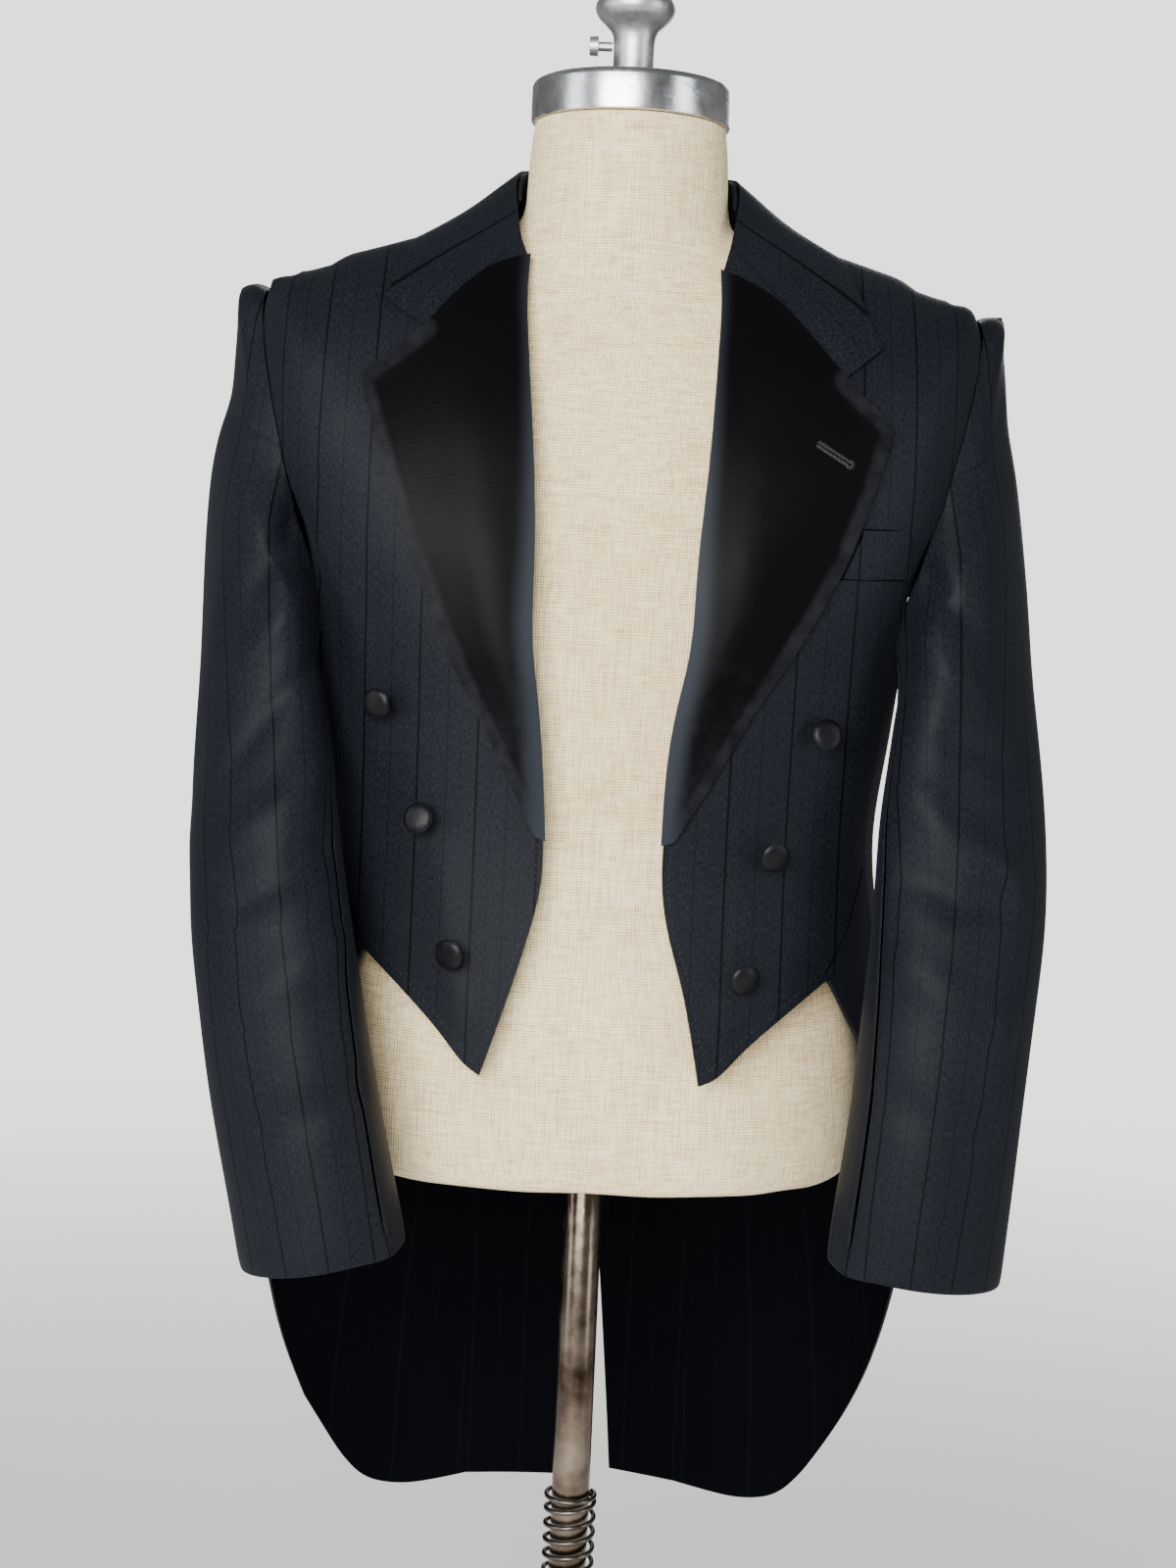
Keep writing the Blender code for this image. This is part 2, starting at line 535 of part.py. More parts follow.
def collar():
    """Collar leaf, from notch to notch round the back of the neck."""
    across, front_rows_n = 7, 6
    grids = {}
    for side in SIDES:
        gorge = front_rows(GORGE[side])
        notch = gorge[-1]
        tip_at = on_front(*COLLAR_TIP[side])
        gorge_line = join(curve(gorge), straight(notch, tip_at), 4 / across)
        back = []
        for s in np.linspace(0, len(COLLAR_BACK) - 1, 11):
            x, y, z, a, r = smooth_row(COLLAR_BACK, s)
            fold, edge = Vector((x, y, z)), coat_point(a, r, COLLAR_LAY)
            back.append([bow(fold, edge, 0.0032, j / across) for j in range(across + 1)])
        start_row = back[-1]
        shoulder_at = (COLLAR_BACK[-1].edge_angle, COLLAR_BACK[-1].edge_ring)
        on_coat = patch(straight(COLLAR_ROOT, shoulder_at), gorge_line, straight(COLLAR_ROOT, gorge[0]),
                        curve((shoulder_at,) + front_rows(COLLAR_EDGE[side])), across, front_rows_n)
        flat = lifted(on_coat, COLLAR_LAY)
        crease = even_curve((start_row[0], CREASE_SIDE, flat[-1][0]))
        front = []
        for i in range(1, front_rows_n + 1):
            v = i / front_rows_n
            crease_off = Vector(crease(v)) - flat[i][0]
            first_off = start_row[0] - flat[0][0]
            line = []
            for j in range(across + 1):
                u = j / across
                row_off = (start_row[j] - flat[0][j]) * (1 - v) ** 1.5
                column_off = (crease_off - first_off * (1 - v) ** 1.5) * (1 - u) ** 1.5
                line.append(flat[i][j] + row_off + column_off)
            front.append(line)
        grids[side] = [[Vector((p.x * SIDES[side], p.y, p.z)) for p in row] for row in back + front]
    grid = grids["right"][:0:-1] + grids["left"]
    trim(grid, top=HALF_SEAM * 1.5, bottom=HALF_SEAM * 1.5)
    sheet("collar", grid, "suiting", SATIN_WALL)


def collar_stand():
    """Inner stand of the collar, upright round the back and sides of the neck."""
    grid = []
    last = len(COLLAR_BACK) - 1
    for s in np.linspace(-last, last, 21):
        x, y, z, a, _ = smooth_row(COLLAR_BACK, abs(s))
        x, a = math.copysign(x, s), math.copysign(a, s) if s else 180.0
        inward = Vector((-x, 0.006 - y, 0)).normalized()
        top = Vector((x, y, z)) + inward * 0.0024 + Vector((0, 0, -0.0006))
        foot = ring_point(BODY_RINGS, a, 0.0) + inward * 0.0012 + Vector((0, 0, 0.0022))
        grid.append([foot.lerp(top, t) for t in (0.0, 0.5, 1.0)])
    sheet("collar_stand", grid, "suiting", SATIN_WALL, flip=True)


# Sleeves
def armhole_place(angle):
    """Place round the armhole at the height that this angle round the arm has."""
    count = len(ARMHOLE)
    places = np.linspace(0, count / 2, 40) if angle <= 0 else np.linspace(count, count / 2, 40)
    heights = [coat_point(*closed_row(ARMHOLE, t % count)).z for t in places]
    wanted = heights[-1] + (heights[0] - heights[-1]) * (1 + math.cos(math.radians(angle))) / 2
    return float(np.interp(-wanted, [-h for h in heights], places)) % count


def armhole_ring(angle):
    """Where the sleeve meets the body at this angle round the arm, drawn out by the seam's gap."""
    angle = (angle + 180) % 360 - 180
    under = (1 - math.cos(math.radians(angle))) / 2
    drawn = Vector((SLEEVE_GAP + UNDERARM_GAP * math.sqrt(under), 0, 0))
    lift = UNDERARM_LIFT * min(1.0, LIFT_SPREAD * under) + LEAST_LIFT
    return coat_point(*closed_row(ARMHOLE, armhole_place(angle)), lift) + drawn


def sleeve_ring(row, angle, seam, seam_top, seam_low):
    """A ring of the sleeve: the armhole's own shape moved out, turning into the arm's oval."""
    c, s = math.cos(math.radians(angle)), math.sin(math.radians(angle))
    half = (row.out_x - row.in_x) / 2
    wide = math.sqrt(max(half * half - (row.deep * row.skew) ** 2, (0.40 * half) ** 2))
    oval = Vector(((row.out_x + row.in_x) / 2 + wide * c + row.deep * row.skew * s, row.y + row.deep * s,
                   (row.out_z + row.in_z) / 2 + (row.out_z - row.in_z) / 2 * c))
    outer, inner = Vector((row.out_x, row.y, row.out_z)), Vector((row.in_x, row.y, row.in_z))
    high, low = ((1 + c) / 2) ** HEAD_POWER, (1 - c) / 2
    moved = (seam + (outer - seam_top) * high + (inner - seam_low) * low
             + Vector((0, (row.deep - ARMHOLE_DEEP) * s, 0)))
    return moved.lerp(oval, row.own)


def sleeve_strip(side, angle, downs):
    """Points down the sleeve at one angle round it: 0 outside, negative in front."""
    top, low, seam = armhole_ring(0), armhole_ring(180), armhole_ring(angle)
    rows = SLEEVES[side]
    stations = [seam] + [sleeve_ring(row, angle, seam, top, low) for row in rows]
    middles = [(top + low) / 2] + [Vector(((r.out_x + r.in_x) / 2, r.y, (r.out_z + r.in_z) / 2)) for r in rows]
    strip = []
    for down in downs:
        p, middle = Vector(smooth_row(stations, down * len(rows))), Vector(smooth_row(middles, down * len(rows)))
        swell = 0.0
        for fold in SLEEVE_FOLDS[side]:
            turn = (angle - fold.turn + 180) % 360 - 180
            across = (down - fold.down - fold.slope * turn / 90) / fold.wide
            swell += fold.rise * math.exp(-across ** 2 - (turn / 50) ** 2)
        strip.append(p + (p - middle).normalized() * swell)
    return strip


def sleeve(side):
    """Two-piece sleeve: the top sleeve outside and the under sleeve towards the body."""
    rows = 20
    fore, hind = TOP_SLEEVE_SEAMS
    downs = [(i / rows) ** 1.2 for i in range(rows + 1)]
    for name, start, end, cols in (("top_sleeve_", fore, hind, 11), ("under_sleeve_", hind, fore + 360, 5)):
        strips = [sleeve_strip(side, start + (end - start) * j / cols, downs) for j in range(cols + 1)]
        grid = [list(row) for row in zip(*strips)]
        trim(grid, SLEEVE_SEAM, SLEEVE_SEAM)
        sheet(name + side, mirrored(grid, side), "suiting", flip=side == "left")


# Breast welt
def welt():
    """Breast pocket's welt, a stitched-down band that comes out from under the lapel."""
    low, high = curve(front_rows(WELT_LOW)), curve(front_rows(WELT_HIGH))
    rows = [[low(j / 5) * (1 - v) + high(j / 5) * v for j in range(6)] for v in (0, 0.5, 1)]
    sheet("breast_welt", lifted(rows, 0.0022), "suiting", 0.0014)


# Buttons
def button(name, place, axis, radius, deep, shank):
    """Satin-covered button, domed on its face, on a short thread shank."""
    sides = 10
    profile = ((0.0, 0.0), (SHANK_R, 0.0), (SHANK_R, shank), (radius * 0.86, shank + deep * 0.12),
               (radius, shank + deep * 0.45), (radius * 0.80, shank + deep * 0.84), (0.0, shank + deep))
    mesh = bpy.data.meshes.new(name)
    bm = bmesh.new()
    verts = [bm.verts.new((r, 0, h)) for r, h in profile]
    for a, b in zip(verts, verts[1:]):
        bm.edges.new((a, b))
    bmesh.ops.spin(bm, geom=bm.verts[:] + bm.edges[:], cent=(0, 0, 0), axis=(0, 0, 1),
                   angle=math.tau, steps=sides, use_duplicate=False)
    bmesh.ops.remove_doubles(bm, verts=bm.verts, dist=1e-5)
    bmesh.ops.recalc_face_normals(bm, faces=bm.faces)
    bm.to_mesh(mesh)
    bm.free()
    mesh.shade_smooth()
    mesh.materials.append(material("satin"))
    ob = bpy.data.objects.new(name, mesh)
    parts.objects.link(ob)
    ob.matrix_world = Matrix.Translation(place) @ axis.to_track_quat("Z", "Y").to_matrix().to_4x4()
    return ob


def front_buttons(side):
    for i, (x, z, turn, nod) in enumerate(FRONT_BUTTONS[side]):
        a, r = on_front(x, z)
        base, up = coat_point(a, r), coat_point(a, r, 1.0)
        normal = (up - base).normalized()
        place = base + normal * (WALL / 2 + FIT + TIPPED)
        place.x *= SIDES[side]
        lean = Matrix.Rotation(math.radians(turn), 3, "Z") @ Matrix.Rotation(math.radians(nod), 3, "X")
        button("button_%s_%d" % (side, i + 1), place, lean @ Vector((0, -1, 0)), BUTTON_R, BUTTON_DEEP, SHANK)


def cuff_and_back_buttons(side):
    hind = TOP_SLEEVE_SEAMS[1]
    for i, down in enumerate(CUFF_BUTTON_DOWN):
        base, below = sleeve_strip(side, hind - 14, (down, down + 0.02))
        along = below - base
        round_way = sleeve_strip(side, hind - 10, (down,))[0] - base
        normal = round_way.cross(along).normalized()
        if normal.y < 0:
            normal = -normal
        place = base + normal * CUFF_BUTTON_LIFT
        place.x, normal.x = place.x * SIDES[side], normal.x * SIDES[side]
        button("cuff_button_%s_%d" % (side, i + 1), place, normal, SMALL_BUTTON_R, 0.0036, 0.0008)
    base, up = coat_point(*BACK_BUTTON), coat_point(*BACK_BUTTON, 1.0)
    normal = (up - base).normalized()
    place = base + normal * (WALL / 2 + FIT)
    place.x, normal.x = place.x * SIDES[side], normal.x * SIDES[side]
    button("back_button_" + side, place, normal, BUTTON_R, BUTTON_DEEP, 0.0010)


# Dress form and stand
def turned(name, profile, mat, steps=32, place=(0, 0, 0)):
    """A turned piece: its profile, outer side from top to bottom, spun by a Screw modifier."""
    mesh = bpy.data.meshes.new(name)
    mesh.from_pydata([(r, 0, z) for r, z in profile], [(i, i + 1) for i in range(len(profile) - 1)], [])
    ob = bpy.data.objects.new(name, mesh)
    parts.objects.link(ob)
    mesh.materials.append(material(mat))
    screw = ob.modifiers.new("turn", "SCREW")
    screw.steps = screw.render_steps = steps
    screw.use_merge_vertices = True
    screw.merge_threshold = 0.00001
    ob.location = place
    return ob


def form_body():
    """Linen-covered torso, smooth and closed, with a flat neck top and a flat underside."""
    around, rows = 32, 20
    mesh = bpy.data.meshes.new("form_body")
    bm = bmesh.new()
    rings = []
    for i in range(rows + 1):
        place = (len(FORM_RINGS) - 1) * i / rows
        rings.append([bm.verts.new(ring_point(FORM_RINGS, 360 * j / around, place)) for j in range(around)])
    for upper, lower in zip(rings, rings[1:]):
        for j in range(around):
            k = (j + 1) % around
            bm.faces.new((upper[j], lower[j], lower[k], upper[k]))
    bm.faces.new(rings[0])
    bm.faces.new(rings[-1][::-1])
    bmesh.ops.recalc_face_normals(bm, faces=bm.faces)
    bm.to_mesh(mesh)
    bm.free()
    mesh.shade_smooth()
    mesh.materials.append(material("linen"))
    parts.objects.link(bpy.data.objects.new("form_body", mesh))


def neck_metal():
    low = FORM_TOP + RING_LOW
    high = FORM_TOP + RING_HIGH
    turned("neck_ring", ((0, high), (RING_R - 0.004, high), (RING_R - 0.001, high - 0.0012),
                         (RING_R, high - 0.004), (RING_R, low), (0, low)), "neck_metal", 40)
    base = high + FIT
    turned("neck_fitting", ((0, base + 0.062), (0.010, base + 0.0605), (0.020, base + 0.0560),
                            (0.0252, base + 0.0500), (0.0257, base + 0.0460), (0.0222, base + 0.0400),
                            (0.0160, base + 0.0345), (0.0135, base + 0.0290), (0.0130, base + 0.0060),
                            (0.0150, base), (0, base)), "neck_metal", 28)
    height = base + 0.0235
    screw = turned("set_screw", ((0, 0.0150), (0.0062, 0.0145), (0.0066, 0.0090), (0.0030, 0.0085),
                                 (0.0030, 0.0), (0, 0.0)), "neck_metal", 12)
    screw.rotation_euler = (0, -math.pi / 2, 0)
    screw.location = (-0.0135 - FIT, 0, height)


def stand():
    turned("pole", ((0, FORM_BOTTOM - FIT), (POLE_R, FORM_BOTTOM - FIT), (POLE_R, COLUMN_TOP + FIT),
                    (0, COLUMN_TOP + FIT)), "pole_steel", 28)
    turned("foot", ((0, COLUMN_TOP), (COLUMN_R, COLUMN_TOP), (COLUMN_R, 0.085), (0.0240, 0.060),
                    (0.0340, 0.044), (0.0900, 0.030), (0.1700, 0.022), (FOOT_R - 0.006, 0.019),
                    (FOOT_R, 0.013), (FOOT_R, 0.0), (0, 0.0)), "foot_iron", 36)
    turns, points = (SPRING_TOP - COLUMN_TOP) / SPRING_PITCH, 10
    path = bpy.data.curves.new("spring", "CURVE")
    path.dimensions = "3D"
    line = path.splines.new("POLY")
    count = int(turns * points) + 1
    line.points.add(count - 1)
    bottom = COLUMN_TOP + FIT + SPRING_WIRE_R
    for i in range(count):
        turn = i / points
        z = bottom + SPRING_PITCH * max(0.0, min(turn, turns - 0.7) - 0.7)
        a = math.tau * turn
        line.points[i].co = (SPRING_R * math.cos(a), SPRING_R * math.sin(a), z, 1)
    path.bevel_depth = SPRING_WIRE_R
    path.bevel_resolution = 2
    path.use_fill_caps = True
    path.materials.append(material("spring_steel"))
    parts.objects.link(bpy.data.objects.new("spring", path))


for wearer_side in SIDES:
    front_panel(wearer_side)
    side_panel(wearer_side)
    back_panel(wearer_side)
    tail_panel(wearer_side)
    lapel(wearer_side)
    sleeve(wearer_side)
    front_buttons(wearer_side)
    cuff_and_back_buttons(wearer_side)
collar()
collar_stand()
welt()
form_body()
neck_metal()
stand()
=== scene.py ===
"""White tie tailcoat on a limbless dress form and its pole stand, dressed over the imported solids.

Metres, +Z up. The coat faces -Y and its wearer's left is +X.
"""
import math

import bmesh
import bpy
import numpy as np
from mathutils import Matrix, Vector, kdtree, noise
from mathutils.bvhtree import BVHTree


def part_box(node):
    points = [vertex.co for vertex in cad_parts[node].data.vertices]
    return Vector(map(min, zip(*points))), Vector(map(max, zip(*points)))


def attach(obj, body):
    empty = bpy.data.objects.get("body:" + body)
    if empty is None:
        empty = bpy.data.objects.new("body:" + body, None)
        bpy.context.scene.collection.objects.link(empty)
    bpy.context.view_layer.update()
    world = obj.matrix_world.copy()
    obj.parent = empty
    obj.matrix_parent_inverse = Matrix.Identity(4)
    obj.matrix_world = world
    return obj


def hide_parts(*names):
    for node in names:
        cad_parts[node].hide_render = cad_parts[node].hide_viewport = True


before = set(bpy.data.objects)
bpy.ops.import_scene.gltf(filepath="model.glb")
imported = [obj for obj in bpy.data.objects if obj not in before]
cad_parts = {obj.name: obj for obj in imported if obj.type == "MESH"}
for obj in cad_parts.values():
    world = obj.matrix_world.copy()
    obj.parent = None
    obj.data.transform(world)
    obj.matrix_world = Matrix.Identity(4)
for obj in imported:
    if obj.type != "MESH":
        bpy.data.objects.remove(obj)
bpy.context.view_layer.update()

# Studio: the photograph's camera, a plain pale floor, and soft light from above the camera, as a
# tall window behind the photographer gives it, with a weaker fill from each side.
lens = bpy.data.cameras.new("photo_camera")
lens.sensor_fit = "VERTICAL"
lens.sensor_height = 36.0
lens.lens = 54.0
camera = bpy.data.objects.new("photo_camera", lens)
bpy.context.collection.objects.link(camera)
camera.matrix_world = (Matrix.Translation((-0.009, -1.54, 1.20))
                       @ Matrix.Rotation(math.radians(90 - 5.1), 4, "X")
                       @ Matrix.Rotation(math.radians(2.5), 4, "Z"))
bpy.context.scene.camera = camera


def soft_light(name, place, aim, width, height, power, color):
    lamp = bpy.data.lights.new(name, "AREA")
    lamp.shape = "RECTANGLE"
    lamp.size = width
    lamp.size_y = height
    lamp.energy = power
    lamp.color = color
    ob = bpy.data.objects.new(name, lamp)
    bpy.context.collection.objects.link(ob)
    ob.location = place
    ob.rotation_euler = (Vector(aim) - Vector(place)).to_track_quat("-Z", "Y").to_euler()


soft_light("window", (-0.75, -2.7, 1.8), (0, 0, 1.15), 1.9, 1.5, 190, (1.0, 0.99, 0.97))
soft_light("fill_left", (-2.3, -1.0, 1.5), (0, 0, 1.15), 0.8, 2.4, 26, (0.90, 0.95, 1.0))
soft_light("fill_right", (2.3, -1.3, 1.5), (0, 0, 1.15), 0.8, 2.4, 34, (0.90, 0.95, 1.0))
soft_light("back_top", (0.4, 2.9, 2.0), (0, 0, 1.1), 2.0, 1.4, 45, (1.0, 0.99, 0.98))

world = bpy.data.worlds.new("pale_room")
bpy.context.scene.world = world
world.use_nodes = True
sky = world.node_tree.nodes["Background"]
sky.inputs["Color"].default_value = (0.985, 0.975, 0.96, 1)
seen = world.node_tree.nodes.new("ShaderNodeLightPath")
level = world.node_tree.nodes.new("ShaderNodeMapRange")
level.inputs["To Min"].default_value = 0.22
level.inputs["To Max"].default_value = 2.2
world.node_tree.links.new(seen.outputs["Is Camera Ray"], level.inputs["Value"])
world.node_tree.links.new(level.outputs["Result"], sky.inputs["Strength"])


def new_material(name, rough, metal=0.0, **settings):
    """A material with its Principled BSDF, node list and link call at hand, and its inputs set."""
    made = bpy.data.materials.new(name)
    made.use_nodes = True
    nodes = made.node_tree.nodes
    shader = nodes["Principled BSDF"]
    shader.inputs["Roughness"].default_value = rough
    shader.inputs["Metallic"].default_value = metal
    for key, value in settings.items():
        shader.inputs[key.replace("_", " ")].default_value = value
    return made, nodes, made.node_tree.links.new, shader


def node(nodes, kind, **settings):
    """A shader node; settings with a matching input set that input, the rest set the node."""
    made = nodes.new("ShaderNode" + kind)
    for key, value in settings.items():
        label = key.replace("_", " ")
        if label in made.inputs:
            made.inputs[label].default_value = value
        else:
            setattr(made, key, value)
    return made


def join(source, output, target, entry):
    """Links one node's output to another node's input."""
    target.id_data.links.new(source.outputs[output], target.inputs[entry])


def own_place(nodes):
    return node(nodes, "TexCoord").outputs["Object"]


def ramp(nodes, stops):
    made = nodes.new("ShaderNodeValToRGB")
    points = made.color_ramp.elements
    for i, (at, color) in enumerate(stops):
        stop = points[i] if i < 2 else points.new(at)
        stop.position = at
        stop.color = color
    return made


floor_paint, nodes, link, shader = new_material("pale_floor", 0.75)
spots = node(nodes, "TexNoise", Scale=2.0, Detail=3.0)
tones = ramp(nodes, ((0.3, (0.89, 0.88, 0.865, 1)), (0.7, (0.91, 0.90, 0.885, 1))))
link(own_place(nodes), spots.inputs["Vector"])
join(spots, "Fac", tones, "Fac")
join(tones, "Color", shader, "Base Color")
reach = node(nodes, "VectorMath", operation="LENGTH")
thinned = node(nodes, "MapRange", interpolation_type="SMOOTHERSTEP", From_Min=4.5, From_Max=0.7)
link(own_place(nodes), reach.inputs[0])
join(reach, "Value", thinned, "Value")
join(thinned, "Result", shader, "Alpha")
bpy.ops.object.select_all(action="DESELECT")
bpy.ops.mesh.primitive_circle_add(vertices=64, radius=5, fill_type="NGON", location=(0, 0, -0.0005))
floor = bpy.context.object
floor.name = "floor"
bpy.ops.object.transform_apply(location=True)
floor.data.materials.append(floor_paint)


# Foot and column: a round cast-iron foot in black enamel that carries the column's tube. It stands
# on the floor under its own weight. Its lower half is below the photograph's edge.
def shader_group(name, outputs, **inputs):
    """A node group with named value inputs, a vector input first, and named outputs."""
    made = bpy.data.node_groups.new(name, "ShaderNodeTree")
    made.interface.new_socket("Place", in_out="INPUT", socket_type="NodeSocketVector")
    for key, value in inputs.items():
        socket = made.interface.new_socket(key.replace("_", " "), in_out="INPUT",
                                           socket_type="NodeSocketFloat")
        socket.default_value = value
    for out in outputs:
        made.interface.new_socket(out, in_out="OUTPUT", socket_type="NodeSocketFloat")
    return (made, made.nodes, made.links.new, made.nodes.new("NodeGroupInput"),
            made.nodes.new("NodeGroupOutput"))


def use_group(nodes, group, **inputs):
    made = nodes.new("ShaderNodeGroup")
    made.node_tree = group
    for key, value in inputs.items():
        made.inputs[key.replace("_", " ")].default_value = value
    return made


# Wear: soft patches, fine dust and long scratches, which every metal on the stand has its share of.
wear, nodes, link, given, result = shader_group("wear", ("Patches", "Scratches"), Size=9.0, Stretch=1.0)
patches = node(nodes, "TexNoise", Detail=6.0, Roughness=0.62)
stretched = node(nodes, "Mapping")
stretch = node(nodes, "CombineXYZ", X=1.0, Y=1.0)
lines = node(nodes, "TexNoise", Scale=140.0, Detail=2.0, Roughness=0.4)
thin = node(nodes, "MapRange", From_Min=0.63, From_Max=0.70)
join(given, "Place", patches, "Vector")
join(given, "Size", patches, "Scale")
join(given, "Place", stretched, "Vector")
join(given, "Stretch", stretch, "Z")
join(stretch, "Vector", stretched, "Scale")
join(stretched, "Vector", lines, "Vector")
join(lines, "Fac", thin, "Value")
join(patches, "Fac", result, "Patches")
join(thin, "Result", result, "Scratches")


def metal(name, dark, light, rough_low, rough_high, metallic, size, stretch, bump, scratch):
    """A metal finish: two tones in patches, scratches, and a roughness that follows them."""
    made, nodes, link, shader = new_material(name, rough_low, metallic)
    worn = use_group(nodes, wear, Size=size, Stretch=stretch)
    tones = ramp(nodes, ((0.32, dark), (0.68, light)))
    rough = node(nodes, "MapRange", From_Min=0.25, From_Max=0.75, To_Min=rough_low, To_Max=rough_high)
    height = node(nodes, "Math", operation="MULTIPLY_ADD")
    height.inputs[1].default_value = scratch
    relief = node(nodes, "Bump", Strength=bump, Distance=0.0006)
    link(own_place(nodes), worn.inputs["Place"])
    join(worn, "Patches", tones, "Fac")
    join(worn, "Patches", rough, "Value")
    join(worn, "Scratches", height, 0)
    join(worn, "Patches", height, 2)
    join(tones, "Color", shader, "Base Color")
    join(rough, "Result", shader, "Roughness")
    join(height, "Value", relief, "Height")
    join(relief, "Normal", shader, "Normal")
    return made


def select_only(ob):
    bpy.ops.object.select_all(action="DESELECT")
    ob.select_set(True)
    bpy.context.view_layer.objects.active = ob


def finish_piece(ob, name, mat, angle=40):
    """Names a piece, applies its place, smooths it by angle, and gives it its material."""
    select_only(ob)
    bpy.ops.object.transform_apply(location=True, rotation=True, scale=True)
    bpy.ops.object.shade_smooth_by_angle(angle=math.radians(angle))
    ob.name = ob.data.name = name
    ob.data.materials.clear()
    ob.data.materials.append(mat)
    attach(ob, "root")
    return ob


def stand_for(node_name):
    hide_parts(node_name)


def turned(name, mat, rings, sides=96, place=(0, 0), angle=40):
    """A turned piece, made from a circle whose rim is extruded up and scaled, ring by ring."""
    bpy.ops.object.select_all(action="DESELECT")
    radius, low = rings[0]
    bpy.ops.mesh.primitive_circle_add(vertices=sides, radius=radius, fill_type="NGON",
                                      location=(place[0], place[1], low))
    ob = bpy.context.object
    bpy.ops.object.mode_set(mode="EDIT")
    bpy.ops.mesh.select_all(action="SELECT")
    for (before, from_z), (after, to_z) in zip(rings, rings[1:]):
        bpy.ops.mesh.extrude_region_move(TRANSFORM_OT_translate={"value": (0, 0, to_z - from_z)})
        share = after / before
        bpy.ops.transform.resize(value=(share, share, 1), center_override=(place[0], place[1], to_z))
    bpy.ops.mesh.select_all(action="SELECT")
    bpy.ops.mesh.normals_make_consistent(inside=False)
    bpy.ops.object.mode_set(mode="OBJECT")
    return finish_piece(ob, name, mat, angle)


black_enamel = metal("black_enamel", (0.012, 0.012, 0.013, 1), (0.026, 0.025, 0.026, 1), 0.36, 0.62, 0.0,
                     14.0, 1.0, 0.35, 0.15)
foot_rings = ((0.1930, 0.0), (0.1985, 0.0012), (0.2000, 0.0050), (0.2000, 0.0130), (0.1988, 0.0165),
              (0.1940, 0.0190), (0.1700, 0.0220), (0.1300, 0.0262), (0.0900, 0.0300), (0.0600, 0.0350),
              (0.0420, 0.0400), (0.0340, 0.0440), (0.0285, 0.0505), (0.0245, 0.0590), (0.0215, 0.0700),
              (0.0203, 0.0850), (0.0200, 0.0900), (0.0200, 0.4200), (0.0212, 0.4215), (0.0212, 0.4500),
              (0.0196, 0.4548))
foot = turned("stand_foot", black_enamel, foot_rings, 128)
stand_for("foot")

# Pole: bright drawn steel that has gone brown in streaks, a tube that slides in the column and
# holds the form. It runs up into the form's underside.
old_steel = metal("old_steel", (0.045, 0.026, 0.015, 1), (0.27, 0.215, 0.17, 1), 0.17, 0.36, 1.0,
                  26.0, 0.18, 0.30, 0.5)
pole_low, pole_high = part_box("pole")
pole = turned("stand_pole", old_steel, ((0.0125, pole_low[2]), (0.0127, pole_low[2] + 0.0004),
                                        (0.0127, pole_high[2] - 0.0004), (0.0125, pole_high[2])), 64)
stand_for("pole")

# Spring: dark drawn wire wound loose round the pole, resting on the column's collar.
dark_wire = metal("dark_wire", (0.05, 0.045, 0.04, 1), (0.18, 0.165, 0.15, 1), 0.24, 0.42, 1.0,
                  60.0, 1.0, 0.2, 0.3)
SPRING_R, WIRE_R, PITCH = 0.0163, 0.0016, 0.0106
spring_low, spring_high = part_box("spring")
turns = (spring_high[2] - spring_low[2] - 2 * WIRE_R) / PITCH + 1.4
steps = 26
path = bpy.data.curves.new("spring_wire", "CURVE")
path.dimensions = "3D"
line = path.splines.new("POLY")
line.points.add(int(turns * steps))
for i, point in enumerate(line.points):
    turn = i / steps
    rise = PITCH * max(0.0, min(turn, turns - 0.7) - 0.7)
    angle = math.tau * turn
    point.co = (SPRING_R * math.cos(angle), SPRING_R * math.sin(angle), spring_low[2] + WIRE_R + rise, 1)
path.bevel_depth = WIRE_R
path.bevel_resolution = 3
path.use_fill_caps = True
wire = bpy.data.objects.new("spring_wire", path)
bpy.context.collection.objects.link(wire)
select_only(wire)
bpy.ops.object.convert(target="MESH")
spring = finish_piece(bpy.context.object, "stand_spring", dark_wire, 60)
stand_for("spring")


